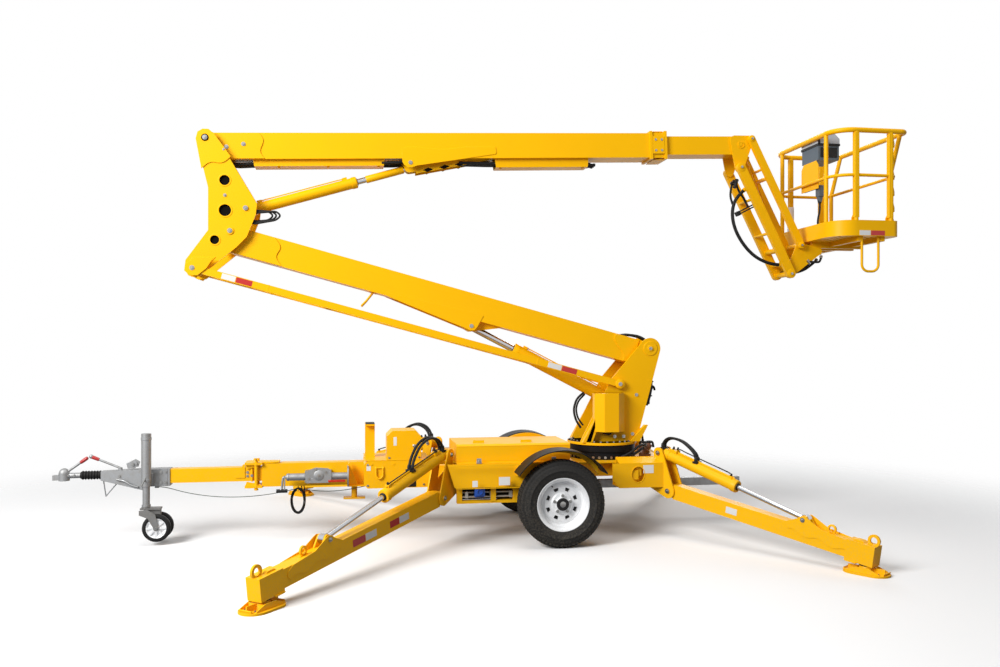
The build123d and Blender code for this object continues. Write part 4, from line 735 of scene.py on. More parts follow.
box_on(bm, -1.400, -1.262, -0.1895, -0.1835, 0.468, 0.486)
made("side_reflector", bm, "chassis", "chrome", reflector, 40, bevel=0.002)
bolts("jack_bolts", "chassis", [((-1.555, -0.188, 0.500), near), ((-1.420, -0.188, 0.552), near),
        ((-1.500, -0.188, 0.575), near), ((-1.475, -0.194, 0.526), near)], 0.016, 0.008)
bolts("beam_bolts", "chassis", [((-2.055, -0.050, 0.515), near), ((-2.055, -0.050, 0.545), near),
        ((hinge_x - 0.035, -0.069, 0.520), near)], 0.017, 0.008)

# Nose box, boom rest and ground control box: folded yellow sheet with blank plates, a lifting
# shackle, a louvred vent low down, latches and a rubber pad on the rest.
plate_white = finish("blank_plate", (0.80, 0.80, 0.78), 0.35, shade=0.05, dust=0.1, grain=0.02)
label_at = (("label_nose", "chassis", -1.0900, -1.0560, 0.562, 0.600, -0.2515),
    ("label_control", "chassis", -0.8700, -0.8440, 0.765, 0.835, -0.2515))
for name, body, x0, x1, z0, z1, y in label_at:
    bm = bmesh.new()
    box_on(bm, x0, x1, y, y + 0.0012, z0, z1)
    made(name, bm, body, "chrome", plate_white, 40, bevel=0.0004)
bm = bmesh.new()
tube_on(bm, [(-1.013, -0.258, 0.585), (-1.013, -0.262, 0.520), (-0.995, -0.264, 0.498), (-0.975, -0.264, 0.498),
        (-0.957, -0.262, 0.520), (-0.957, -0.258, 0.585)], 0.0065, 12, 0.02)
for x in (-1.013, -0.957):
    lathe(bm, [(0, 0.0110), (0.008, 0.0110), (0.010, 0.008), (0.011, 0)], (x, -0.249, 0.585), near, 20)
tube_on(bm, [(-1.022, -0.256, 0.585), (-0.948, -0.256, 0.585)], 0.005, 10)
made("nose_shackle", bm, "chassis", "yellow", yellow_paint, 40)
bm = bmesh.new()
for k in range(5):
    z = 0.4280 + k * 0.0105
    sheet_on(bm, [(-0.790, z), (-0.690, z), (-0.690, z + 0.0045), (-0.790, z + 0.0045)], -0.2535, -0.2495)
box_on(bm, -0.796, -0.684, -0.2512, -0.2495, 0.422, 0.480)
made("nose_vent", bm, "chassis", "black", cap_black, 40)
bm = bmesh.new()
for x in (-1.050, -0.870, -0.690):
    box_on(bm, x - 0.010, x + 0.010, -0.2540, -0.2495, 0.607, 0.622)
box_on(bm, -0.9250, -0.6440, -0.2530, -0.2495, 0.6440, 0.6520)
box_on(bm, -0.6480, -0.6430, -0.2400, 0.0100, 0.6500, 0.8300)
sheet_on(bm, [(-1.110, 0.6435), (-0.575, 0.6435), (-0.575, 0.6475), (-1.110, 0.6475)], -0.2520, 0.2520)
made("nose_trim", bm, "chassis", "yellow", yellow_paint, 40, bevel=0.001)
bm = bmesh.new()
sheet_on(bm, [(-1.096, 0.9285), (-1.018, 0.9285), (-1.022, 0.9345), (-1.092, 0.9345)], -0.088, 0.088)
made("rest_pad", bm, "chassis", "rubber", rubber, 40, bevel=0.002)
bm = bmesh.new()
for z in (0.710, 0.820):
    box_on(bm, -0.9262, -0.9235, -0.2000, -0.1750, z - 0.020, z + 0.020)
lathe(bm, [(0, 0.014), (0.004, 0.014), (0.006, 0.010), (0.016, 0.009), (0.018, 0)], (-0.7000, -0.250, 0.760), near,
    20)
made("control_latches", bm, "chassis", "steel", plated, 40, bevel=0.001)
bolts("nose_bolts", "chassis", [((x, -0.250, z), near) for x in (-1.080, -0.620) for z in (0.440, 0.610)]
    + [((-0.905, -0.250, 0.665), near), ((-0.660, -0.250, 0.665), near)], 0.014, 0.006)

# Chassis: welded box rails with folded pans. Blank plates, the mains socket with its flap,
# battery rods in the rack, a lifting hole's rim, hood latches and seams are put on.
bm = bmesh.new()
for x0, x1, y, z0, z1 in ((-0.271, -0.229, -0.6582, 0.472, 0.521), (-0.059, 0.030, -0.6582, 0.481, 0.546),
    (1.186, 1.276, -0.5012, 0.524, 0.592)):
    box_on(bm, x0, x1, y, y + 0.0012, z0, z1)
made("chassis_blank_plates", bm, "chassis", "chrome", plate_white, 40, bevel=0.0004)
bm = bmesh.new()
box_on(bm, -0.2420, -0.1590, -0.5800, -0.5700, 0.388, 0.452)
lathe(bm, [(0, 0.0250), (0.016, 0.0250), (0.018, 0.0230), (0.018, 0.019), (0.006, 0.019), (0.006, 0)],
    (-0.2005, -0.5720, 0.420), near, 28)
box_on(bm, -0.2260, -0.1750, -0.5960, -0.5780, 0.446, 0.4540)
made("mains_socket", bm, "chassis", "blue", blue_plastic, 40, bevel=0.002)
pale_rod = finish("dull_zinc", (0.50, 0.48, 0.43), 0.45, metallic=0.6, shade=0.3, patch_scale=22.0, dust=0.3,
    grain=0.06)
# near black used as painted shade inside holes and cut outs, and as the black of the rack's cases
hole_shade_and_case_black = finish("hole_shade_and_case_black", (0.006, 0.005, 0.004), 0.7, specular=0.05, shade=0.1, dust=0.02, grain=0.05)
bm = bmesh.new()
for y, z in ((-0.520, 0.372), (-0.495, 0.404)):
    tube_on(bm, [(-0.345, y, z), (0.110, y, z)], 0.008, 12)
for x in (-0.30, -0.10, 0.06):
    box_on(bm, x - 0.012, x + 0.012, -0.530, -0.485, 0.362, 0.414)
made("rack_rods", bm, "chassis", "steel", pale_rod, 40, bevel=0.001)
bm = bmesh.new()
sheet_on(bm, [(-0.372, 0.3450), (0.112, 0.3450), (0.112, 0.4560), (-0.372, 0.4560)], -0.478, -0.470)
box_on(bm, 0.125, 0.300, -0.560, -0.480, 0.350, 0.4560)
for x in (-0.34, -0.12):
    box_on(bm, x, x + 0.16, -0.4780, -0.4840, 0.350, 0.440)
made("rack_battery_cases", bm, "chassis", "black", hole_shade_and_case_black, 40, bevel=0.004)
bm = bmesh.new()
sheet_on(bm, [(0.110, 0.3220), (0.310, 0.3220), (0.310, 0.3380), (0.110, 0.3380)], -0.540, -0.480)
sheet_on(bm, [(-0.108, 0.3350), (-0.064, 0.3350), (-0.064, 0.4580), (-0.108, 0.4580)], -0.545, -0.537)
sheet_on(bm, [(-0.4632, 0.6360), (0.7520, 0.6360), (0.7520, 0.6450), (-0.4632, 0.6450)], -0.6610, -0.6565)
sheet_on(bm, [(-0.4010, 0.4572), (0.7500, 0.4572), (0.7500, 0.4630), (-0.4010, 0.4630)], -0.6595, -0.6565)
made("pan_folds", bm, "chassis", "yellow", yellow_paint, 40, bevel=0.0012)
bm = bmesh.new()
for k in range(40):
    t0, t1 = math.tau * k / 40, math.tau * (k + 1) / 40
    ring = [(1.1419 + r * 55 / 64 * math.cos(t), y, 0.5155 + r * math.sin(t)) for t, r,
        y in ((t0, 0.064, -0.503), (t1, 0.064, -0.503), (t1, 0.070, -0.503), (t0, 0.070, -0.503))]
    back = [(x, -0.4995, z) for x, _, z in ring]
    bm.faces.new([bm.verts.new(p) for p in ring])
    bm.faces.new([bm.verts.new(p) for p in (ring[3], ring[2], back[2], back[3])])
    bm.faces.new([bm.verts.new(p) for p in (ring[1], ring[0], back[0], back[1])])
bmesh.ops.remove_doubles(bm, verts=bm.verts, dist=1e-5)
made("beam_hole_rim", bm, "chassis", "yellow", yellow_paint, 40)
bm = bmesh.new()
box_on(bm, 1.086, 1.150, -0.4900, -0.4780, 0.4700, 0.5500)
sheet_on(bm, [(1.100, 0.500), (1.180, 0.500), (1.180, 0.560), (1.150, 0.580), (1.120, 0.560)], -0.4780, -0.4700)
made("beam_lifting_eye", bm, "chassis", "yellow", yellow_paint, 40, bevel=0.004)
bm = bmesh.new()
for x in (-0.210, 0.400):
    sheet_on(bm, [(x - 0.022, 0.648), (x + 0.022, 0.648), (x + 0.018, 0.690), (x - 0.018, 0.690)], -0.6025, -0.5975)
    tube_on(bm, [(x - 0.016, -0.606, 0.658), (x, -0.612, 0.676), (x + 0.016, -0.606, 0.658)], 0.003, 8, 0.01)
made("hood_latches", bm, "hood", "steel", plated, 40, bevel=0.001)
bm = bmesh.new()
sheet_on(bm, [(-0.3846, 0.6650), (0.5465, 0.6650), (0.5465, 0.6690), (-0.3846, 0.6690)], -0.5515, -0.5495)
sheet_on(bm, [(-0.3846, 0.7790), (0.5465, 0.7790), (0.5465, 0.7830), (-0.3846, 0.7830)], -0.5515, -0.5495)
made("hood_folds", bm, "hood", "yellow", yellow_paint, 40, bevel=0.0006)

# Outrigger legs: box beams with waved doubler plates at the eye, towing rings, blank and red
# reflective strips, a black ball joint and a pressed foot with ribs.
strip_red = finish("strip_red", (0.50, 0.012, 0.008), 0.25, coat=0.3, shade=0.08, dust=0.15, grain=0.02)
strip_white = finish("strip_white", (0.74, 0.74, 0.72), 0.28, coat=0.3, shade=0.08, dust=0.15, grain=0.02)
leg_rows = (("front_left", -0.5381, -0.530, -128.0, 1.955, 1.385, 0.334, 1),
    ("rear_left", 1.4419, -0.500, -57.7, 1.667, 1.209, 0.309, -1),
    ("front_right", -0.5381, 0.530, 128.0, 1.955, 1.385, 0.334, -1),
    ("rear_right", 1.4419, 0.500, 57.7, 1.667, 1.209, 0.309, 1))
pivot_z, drop = 0.378, 0.238


def upright_frame(x, y, heading, a, b):
    # local x runs in the upright plane from a to b (distance out, height), z is up across it
    course = math.atan2(b[1] - a[1], b[0] - a[0])
    return (Matrix.Translation((x, y, 0)) @ Matrix.Rotation(math.radians(heading), 4, "Z")
        @ Matrix.Translation((a[0], 0, a[1])) @ Matrix.Rotation(-course, 4, "Y"))


for tag, x, y, heading, reach, eye, pin_up, seen in leg_rows:
    body, long = "leg_" + tag, math.hypot(reach, drop)
    beam = upright_frame(x, y, heading, (0, pivot_z), (reach, pivot_z - drop))
    wave = [(eye + 0.40 - 0.030 * k, -0.022 + 0.014 * math.sin(k * 0.9) + 0.030 * (k / 17)) for k in range(18)]
    outline = [(eye - 0.13, 0.0600), (eye - 0.045, 0.1060), (eye - 0.022, 0.1280), (eye + 0.010, 0.1350),
        (eye + 0.040, 0.1250), (eye + 0.15, 0.0780), (eye + 0.36, 0.0600), (eye + 0.41, 0.0350),
        (eye + 0.42, 0.0050)] + wave
    bm = bmesh.new()
    for side in (-1, 1):
        sheet_on(bm, outline, side * 0.0500, side * 0.0550)
    sheet_on(bm, [(long - 0.100, 0.0720), (long - 0.010, 0.0720), (long - 0.030, 0.0840), (long - 0.080, 0.0840)],
        -0.028, 0.028)
    ring_s, ring_r = eye + 0.205, 0.030
    lathe(bm, [(-0.008, ring_r + 0.001), (-0.006, ring_r + 0.004), (0.006, ring_r + 0.004), (0.008, ring_r + 0.001),
            (0.008, ring_r - 0.010), (-0.008, ring_r - 0.010)], (ring_s, 0, 0.092), far, 32, closed=True)
    sheet_on(bm, [(ring_s - 0.045, 0.0600), (ring_s + 0.045, 0.0600), (ring_s + 0.020, 0.0700),
            (ring_s - 0.020, 0.0700)], -0.008, 0.008)
    box_on(bm, 0.050, 0.056, -0.0515, 0.0515, -0.0610, 0.0610)
    sheet_on(bm, [(long - 0.128, -0.0720), (long - 0.040, -0.0720), (long - 0.040, -0.0800),
            (long - 0.120, -0.0800)], -0.065, 0.065)
    bm.transform(beam)
    made("leg_doublers_" + tag, bm, body, "yellow", yellow_paint, 40, bevel=0.0012)
    # reflective strips: name, paint, from and to along the leg
    if "front" in tag:
        strips, h0, h1 = (("red", strip_red, 1.010, 1.150), ("white", strip_white, 0.880, 1.006),
            ("red_in", strip_red, 0.600, 0.715), ("white_in", strip_white, 0.475, 0.596)), -0.028, 0.022
    else:
        strips, h0, h1 = (("white", strip_white, 0.560, 0.660), ("red", strip_red, 0.664, 0.780)), -0.025, 0.025
    for part, paint, s0, s1 in strips:
        if tag == "rear_left" and part == "red":
            continue
        bm = bmesh.new()
        box_on(bm, s0, s1, seen * 0.0500, seen * 0.0512, h0, h1)
        bm.transform(beam)
        made("leg_strip_" + part + "_" + tag, bm, body, "chrome", paint, 40, bevel=0.0003)
    for at, wide in (((0, 0), 0.030), ((eye, 0.106), 0.026)):
        spots = [(beam @ Vector((at[0], side * (0.0755 if at[0] == 0 else 0.0560), at[1])),
                (beam.to_3x3() @ Vector((0, side, 0)))) for side in (-1, 1)]
        bolts("leg_pin_%s_%s" % ("in" if at[0] == 0 else "out", tag), "chassis" if at[0] == 0 else body, spots,
            wide, 0.010)
    foot = upright_frame(x, y, heading, (reach, 0), (reach + 1, 0))
    bm = bmesh.new()
    for y0 in (-0.070, 0.064):
        sheet_on(bm, [(-0.125, 0.0138), (0.125, 0.0138), (0.115, 0.024), (0.045, 0.050), (-0.045, 0.050),
                (-0.115, 0.024)], y0, y0 + 0.006)
    for x0 in (-0.052, 0.046):
        box_on(bm, x0, x0 + 0.006, -0.066, 0.066, 0.0138, 0.046)
    for end in (-1, 1):
        sheet_on(bm, [(end * 0.112, 0.0138), (end * 0.142, 0.0138), (end * 0.1480, 0.026), (end * 0.1430, 0.030),
                (end * 0.136, 0.020), (end * 0.112, 0.0180)], -0.050, 0.050)
    lathe(bm, [(0.0138, 0.060), (0.030, 0.0560), (0.044, 0.0500), (0.052, 0.0470), (0.058, 0.0440)], (0, 0, 0), up,
        36)
    bm.transform(foot)
    made("foot_ribs_" + tag, bm, body, "yellow", yellow_paint, 40, bevel=0.001)
    bm = bmesh.new()
    lathe(bm, [(0.0580, 0.040), (0.0585, 0.050), (0.0640, 0.0530), (0.0700, 0.050), (0.0710, 0.036),
            (0.0780, 0.034), (0.0830, 0.031), (0.0900, 0.0305)], (0, 0, 0), up, 36)
    bm.transform(foot)
    made("foot_joint_" + tag, bm, body, "black", cap_black, 40)
    spots = [(foot @ Vector((sx * 0.100, sy * 0.040, 0.0140)), up) for sx in (-1, 1) for sy in (-1, 1)]
    bolts("foot_bolts_" + tag, body, spots, 0.014, 0.006)
    # the cylinder's own plane: from the upper bracket pin down to the eye
    tilt = math.atan2(-drop, reach)
    tip = (eye * math.cos(tilt) - 0.106 * math.sin(tilt), pivot_z + eye * math.sin(tilt) + 0.106 * math.cos(tilt))
    base = (-0.100, pivot_z + pin_up)
    ram = upright_frame(x, y, heading, base, tip)
    span = math.hypot(tip[0] - base[0], tip[1] - base[1])
    tube_end = span * 0.555
    bm = bmesh.new()
    lathe(bm, [(tube_end - 0.050, 0.0451), (tube_end - 0.048, 0.0505), (tube_end - 0.006, 0.0505),
            (tube_end, 0.0470), (tube_end + 0.0005, 0.0300), (tube_end + 0.0005, 0.0215)], (0, 0, 0), ahead, 36)
    lathe(bm, [(0.064, 0.0451), (0.066, 0.0480), (0.086, 0.0480), (0.088, 0.0451)], (0, 0, 0), ahead, 36)
    box_on(bm, 0.090, 0.150, -0.026, 0.026, 0.040, 0.066)
    box_on(bm, tube_end - 0.096, tube_end - 0.060, -0.018, 0.018, 0.040, 0.062)
    bm.transform(ram)
    made("leg_ram_collars_" + tag, bm, "leg_barrel_" + tag, "yellow", yellow_paint, 40, bevel=0.001)
    bm = bmesh.new()
    lathe(bm, [(tube_end + 0.0004, 0.0300), (tube_end + 0.006, 0.0290), (tube_end + 0.009, 0.0260),
            (tube_end + 0.010, 0.0212)], (0, 0, 0), ahead, 32)
    bm.transform(ram)
    made("leg_ram_wiper_" + tag, bm, "leg_barrel_" + tag, "black", cap_black, 40)
    bm = bmesh.new()
    tube_on(bm, [(0.125, 0.018, 0.066), (0.150, 0.020, 0.078), (0.200, 0.020, 0.074),
            (tube_end - 0.120, 0.016, 0.074), (tube_end - 0.078, 0.010, 0.070), (tube_end - 0.078, 0.0, 0.062)],
        0.0050, 10, 0.02)
    for at in ((0.105, -0.012, 0.066), (0.128, 0.016, 0.066)):
        lathe(bm, [(-0.001, 0.011), (0.010, 0.011), (0.011, 0.0085), (0.022, 0.0085), (0.024, 0.007)], at, up, 6)
    lathe(bm, [(0, 0.010), (0.014, 0.010), (0.015, 0.007), (0.020, 0.007)], (tube_end - 0.078, 0, 0.060), up, 6)
    bm.transform(ram)
    made("leg_ram_line_" + tag, bm, "leg_barrel_" + tag, "black", cap_black, 40)
    spots = [(ram @ Vector((0, side * 0.0755, 0)), ram.to_3x3() @ Vector((0, side, 0))) for side in (-1, 1)]
    bolts("leg_ram_pin_" + tag, "chassis", spots, 0.030, 0.010)
    # two hoses arch from the cylinder's base end to the port block at its middle
    plane = upright_frame(x, y, heading, (0, 0), (1, 0))
    if tag.startswith("front"):
        route = [(-0.060, 0.748), (-0.056, 0.785), (-0.004, 0.842), (0.092, 0.870), (0.188, 0.856), (0.273, 0.815),
            (0.335, 0.745), (0.366, 0.690), (0.372, 0.650)]
    else:
        route = [(-0.090, 0.728), (-0.092, 0.768), (-0.027, 0.821), (0.096, 0.803), (0.176, 0.754), (0.225, 0.712),
            (0.242, 0.680), (0.245, 0.645)]
    for k, across in enumerate((-0.015, 0.015)):
        spots = []
        for j, (s, z) in enumerate(route):
            slack = -0.006 * k * (1 < j < len(route) - 2)
            spots.append(tuple(plane @ Vector((s, across, z + slack))))
        hose = cord_curve("leg_hose_%d_%s" % (k + 1, tag), spots, 0.011, rubber, "leg_barrel_" + tag)
        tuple(spots[0])
        nurbs_length(hose)
    bm = bmesh.new()
    for s, z, sink in ((route[0][0], route[0][1] - 0.004, 0.012), (route[-1][0], route[-1][1] - 0.010, 0.010)):
        box_on(bm, s - 0.022, s + 0.022, -0.034, 0.034, z - sink, z + 0.008)
        for across in (-0.015, 0.015):
            lathe(bm, [(z + 0.006, 0.0135), (z + 0.020, 0.0145), (z + 0.038, 0.0125), (z + 0.042, 0.0112)],
                (s, across, 0), up, 16)
    bm.transform(plane)
    made("leg_hose_ports_" + tag, bm, "leg_barrel_" + tag, "black", cap_black, 40, bevel=0.002)

# Turntable: slewing ring with black races and two rows of bolts, folded edges and pin caps on
# the mast, a rubber boot where the cables go down, and the slewing motor with its hoses.
bm = bmesh.new()
slew_x, mast_edge_x = 0.9719, 0.7369
lathe(bm, [(0.6125, 0.2860), (0.6135, 0.2885), (0.6530, 0.2885), (0.6545, 0.2860)], (slew_x, 0, 0), up, 96)
lathe(bm, [(0.6780, 0.2860), (0.6795, 0.2890), (0.7280, 0.2890), (0.7295, 0.2860)], (slew_x, 0, 0), up, 96)
made("slew_races", bm, "chassis", "black", black_paint, 40)
bm = bmesh.new()
lathe(bm, [(0, 0.0115), (0.0025, 0.0115)], (0.2960, 0, 0.6330), ahead, 16)
lathe(bm, [(0.0020, 0.0085), (0.0085, 0.0085), (0.0100, 0.0068), (0.0103, 0)], (0.2885, 0, 0.6330), ahead, 6)
grown("slew_side_bolts", bm, turned_copies, "chassis", "steel", plated, 30, Count=36, Axis=(0, 0, 1),
    Centre=(slew_x, 0, 0))
bm = bmesh.new()
lathe(bm, [(0, 0.0120), (0.0025, 0.0120)], (0.2720, 0, 0.7574), up, 16)
lathe(bm, [(0.0020, 0.0092), (0.0100, 0.0092), (0.0120, 0.0072), (0.0123, 0)], (0.2720, 0, 0.7574), up, 6)
grown("mast_foot_bolts", bm, turned_copies, "turntable", "steel", plated, 30, Count=30, Axis=(0, 0, 1),
    Centre=(slew_x, 0, 0))
bm = bmesh.new()
lathe(bm, [(0.7350, 0.3000), (0.7360, 0.3040), (0.7560, 0.3040), (0.7575, 0.3000)], (slew_x, 0, 0), up, 96)
for side in (-1, 1):
    sheet_on(bm, [(mast_edge_x + 0.030, 0.760), (mast_edge_x + 0.075, 0.760), (0.872, 0.960), (0.850, 0.960)],
        side * 0.2300, side * 0.1700)
    sheet_on(bm, [(1.170, 0.7574), (1.255, 0.7574), (1.330, 0.900), (1.300, 0.900)], side * 0.1700, side * 0.2050)
for z in (0.8500, 1.1720):
    sheet_on(bm, [(0.8380, z), (1.1120, z), (1.1120, z + 0.008), (0.8380, z + 0.008)], -0.2360, -0.1700)
made("mast_flanges", bm, "turntable", "yellow", yellow_paint, 40, bevel=0.0015)
mast_pin, link_pin = (1.3619, 1.5630), (1.0769, 1.2560)
bm = bmesh.new()
for side in (-1, 1):
    lathe(bm, [(0.170, 0.0620), (0.1740, 0.0620), (0.1760, 0.0600)], (mast_pin[0], 0, mast_pin[1]), (0, side, 0),
        48)
    lathe(bm, [(0.175, 0.0300), (0.1790, 0.0290), (0.1800, 0.0260), (0.1800, 0)], (mast_pin[0], 0, mast_pin[1]),
        (0, side, 0), 32)
made("mast_pin_caps", bm, "turntable", "yellow", yellow_paint, 40, bevel=0.001)
bolts("mast_bolts", "turntable", [((mast_pin[0], -0.1800, mast_pin[1]), near),
        ((mast_pin[0], 0.1800, mast_pin[1]), far)] + [((x, -0.1700, z), near) for x,
        z in ((1.235, 1.160), (1.040, 0.800), (1.120, 0.800), (1.200, 0.820))]
    + [((x, -0.2365, z), near) for x, z in ((0.900, 1.160), (1.040, 1.160), (0.900, 0.866), (1.040, 0.866))], 0.022,
    0.010)
bm = bmesh.new()
lathe(bm, [(-0.010, 0.018), (0.010, 0.030), (0.060, 0.036), (0.120, 0.040), (0.180, 0.034), (0.230, 0.026),
        (0.235, 0.028), (0.255, 0.028), (0.258, 0.018), (0.270, 0.012)], (1.372, -0.110, 1.330), (-0.10, 0, -1), 24)
for z in (1.275, 1.215, 1.150):
    lathe(bm, [(-0.006, 0.034), (-0.005, 0.043), (0.005, 0.043), (0.006, 0.034)],
        (1.372 - 0.1 * (1.33 - z), -0.110, z), (-0.10, 0, -1), 24)
tube_on(bm, [(1.372, -0.110, 1.310), (1.374, -0.114, 1.338), (1.364, -0.122, 1.352)], 0.014, 12, 0.02)
tube_on(bm, [(1.380, -0.110, 1.240), (1.412, -0.118, 1.225), (1.420, -0.118, 1.195)], 0.010, 10, 0.015)
made("mast_cable_boot", bm, "turntable", "rubber", rubber, 50)
bm = bmesh.new()
tube_on(bm, [(0.775, -0.120, 1.180), (0.705, -0.150, 1.130), (0.672, -0.165, 1.040), (0.690, -0.172, 0.950),
        (0.735, -0.176, 0.880)], 0.010, 12, 0.05)
tube_on(bm, [(0.790, -0.100, 1.165), (0.725, -0.130, 1.110), (0.700, -0.140, 1.040), (0.715, -0.150, 0.960),
        (0.760, -0.160, 0.900)], 0.008, 12, 0.05)
tube_on(bm, [(0.905, -0.176, 0.905), (0.935, -0.205, 0.862), (0.985, -0.215, 0.842), (1.010, -0.190, 0.868)], 0.011,
    12, 0.03)
tube_on(bm, [(0.890, -0.176, 0.890), (0.918, -0.212, 0.838), (0.975, -0.226, 0.820), (1.020, -0.180, 0.850)], 0.008,
    12, 0.03)
made("mast_hose_ends", bm, "turntable", "rubber", rubber, 50)
dark_red = finish("motor_brown", (0.11, 0.035, 0.012), 0.45, shade=0.2, dust=0.2, grain=0.08)
bm = bmesh.new()
motor = (1.315, -0.170, 0.690)
lathe(bm, [(-0.055, 0.0), (-0.055, 0.040), (-0.050, 0.046), (-0.010, 0.046), (-0.008, 0.054), (0.004, 0.054),
        (0.006, 0.036), (0.050, 0.036), (0.060, 0.030), (0.060, 0)], motor, (0.55, -0.1, 0.75), 32)
box_on(bm, 1.270, 1.350, -0.215, -0.125, 0.6120, 0.650)
made("slew_motor", bm, "chassis", "black", dark_red, 40, bevel=0.002)
bm = bmesh.new()
for run, r in (([(1.290, -0.200, 0.705), (1.240, -0.260, 0.690), (1.180, -0.300, 0.665), (1.120, -0.310, 0.652),
        (1.085, -0.290, 0.640)], 0.011), ([(1.300, -0.210, 0.730), (1.230, -0.280, 0.735), (1.160, -0.310, 0.690),
        (1.110, -0.315, 0.660), (1.060, -0.290, 0.636)], 0.011),
    ([(1.340, -0.180, 0.735), (1.360, -0.200, 0.748), (1.330, -0.200, 0.748), (1.290, -0.180, 0.748),
        (1.270, -0.160, 0.748), (1.275, -0.150, 0.690)], 0.009),
    ([(1.320, -0.170, 0.745), (1.320, -0.160, 0.748), (1.350, -0.150, 0.748), (1.385, -0.160, 0.748),
        (1.390, -0.170, 0.700)], 0.010)):
    tube_on(bm, run, r, 12, 0.04)
made("slew_hoses", bm, "chassis", "rubber", rubber, 50)
bm = bmesh.new()
for at, toward in (((1.294, -0.198, 0.707), (0.6, 0.6, 0.2)), ((1.304, -0.206, 0.728), (0.6, 0.6, 0)),
    ((1.338, -0.178, 0.733), (-0.2, 0.1, -1)), ((1.320, -0.170, 0.742), (0, 0, -1))):
    lathe(bm, [(-0.014, 0.0115), (-0.001, 0.0125), (0.001, 0.0140), (0.012, 0.0140), (0.016, 0.010)], at, toward, 6)
made("slew_hose_fittings", bm, "chassis", "steel", plated, 40)

# Parallel links and lower boom: flat bars with reflective strips and eye bosses; a box boom
# with waved doublers at both ends, bracket plates for its cylinder, a hanger and bent hoses.
def side_frame(a, b):
    # local x runs from a to b in the side view, z is up across it
    return Matrix.Translation((a[0], 0, a[1])) @ Matrix.Rotation(-math.atan2(b[1] - a[1], b[0] - a[0]), 4, "Y")


lower_elbow, link_elbow = (-2.1801, 2.5160), (-2.4651, 2.2090)
link = side_frame(link_elbow, link_pin)
link_long = math.dist(link_elbow, link_pin)
bm = bmesh.new()
for side in (-1, 1):
    for s in (0, link_long):
        lathe(bm, [(0.2095, 0.0410), (0.2130, 0.0410), (0.2145, 0.0390)], (s, 0, 0), (0, side, 0), 36)
    for s in (0.60, link_long - 0.76):
        sheet_on(bm, [(s, -0.0290), (s + 0.015, -0.0290), (s + 0.015, 0.0290), (s, 0.0290)], side * 0.1740,
            side * 0.2112)
tube_on(bm, [(1.05, -0.178, 0), (1.05, 0.178, 0)], 0.014, 16)
bm.transform(link)
made("link_bosses", bm, "level_link", "yellow", yellow_paint, 40, bevel=0.0012)
for name, paint, s0, s1 in (("low_white", strip_white, 0.235, 0.345), ("low_red", strip_red, 0.350, 0.480),
    ("top_white", strip_white, link_long - 0.660, link_long - 0.540),
    ("top_red", strip_red, link_long - 0.535, link_long - 0.400)):
    bm = bmesh.new()
    for side in (-1, 1):
        box_on(bm, s0, s1, min(side * 0.2100, side * 0.2112), max(side * 0.2100, side * 0.2112), -0.022, 0.022)
    bm.transform(link)
    made("link_strip_" + name, bm, "level_link", "chrome", paint, 40, bevel=0.0003)
bolts("link_bolts", "level_link", [(link @ Vector((s, side * 0.2140, 0)), (0, side, 0)) for s in (0, link_long)
        for side in (-1, 1)], 0.026, 0.010)

lower = side_frame(lower_elbow, mast_pin)
lower_long = math.dist(lower_elbow, mast_pin)


def waved(s0, s1, h0, h1, lean, count=24):
    # an S shaped plate edge across the boom, from (s0, h0) to (s1, h1)
    run = []
    for k in range(count + 1):
        t = k / count
        run.append((s0 + (s1 - s0) * t + lean * math.sin(math.tau * t), h0 + (h1 - h0) * t))
    return run


low_top, low_bottom = 0.0520, -0.1650
bm = bmesh.new()
for side in (-1, 1):
    y0, y1 = side * 0.1100, side * 0.1180
    sheet_on(bm, [(0.075, low_bottom + 0.002), (0.075, low_top - 0.002)]
        + waved(0.345, 0.465, low_top - 0.002, low_bottom + 0.002, 0.030), y0, y1)
    sheet_on(bm, [(lower_long - 0.100, low_top - 0.002), (lower_long - 0.100, low_bottom + 0.002)]
        + waved(lower_long - 0.200, lower_long - 0.320, low_bottom + 0.002, low_top - 0.002, 0.025), y0, y1)
    sheet_on(bm, [(1.300, -0.140), (1.340, -0.166), (2.060, -0.254), (2.104, -0.262), (2.140, -0.250),
            (2.156, -0.215), (2.182, -0.110), (2.150, -0.104)], side * 0.1100, side * 0.1150)
bm.transform(lower)
made("lower_boom_doublers", bm, "lower_boom", "yellow", yellow_paint, 40, bevel=0.0012)
bm = bmesh.new()
for y in (-0.050, 0.050):
    tube_on(bm, [(1.235, y, low_bottom + 0.003), (1.195, y, low_bottom - 0.090),
            (1.170, y * 1.4, low_bottom - 0.135)], 0.009, 12, 0.01)
    sheet_on(bm, [(1.205, low_bottom - 0.004), (1.265, low_bottom - 0.004), (1.265, low_bottom + 0.001),
            (1.205, low_bottom + 0.001)], y - 0.025, y + 0.025)
tube_on(bm, [(1.1985, -0.052, low_bottom - 0.080), (1.1985, 0.052, low_bottom - 0.080)], 0.007, 12)
bm.transform(lower)
made("link_hanger", bm, "lower_boom", "yellow", yellow_paint, 40, bevel=0.001)
bm = bmesh.new()
tube_on(bm, [(lower_long - 0.250, 0.02, low_top), (lower_long - 0.180, 0.02, low_top + 0.028),
        (lower_long - 0.080, 0.02, low_top + 0.034), (lower_long - 0.01, 0.02, low_top + 0.020),
        (lower_long + 0.050, 0.02, low_top - 0.030)], 0.012, 12, 0.04)
tube_on(bm, [(lower_long - 0.250, -0.03, low_top), (lower_long - 0.170, -0.03, low_top + 0.026),
        (lower_long - 0.080, -0.03, low_top + 0.036), (lower_long - 0.005, -0.03, low_top + 0.016),
        (lower_long + 0.045, -0.03, low_top - 0.040)], 0.012, 12, 0.04)
bm.transform(lower)
made("lower_boom_hose_bend", bm, "lower_boom", "rubber", rubber, 50)
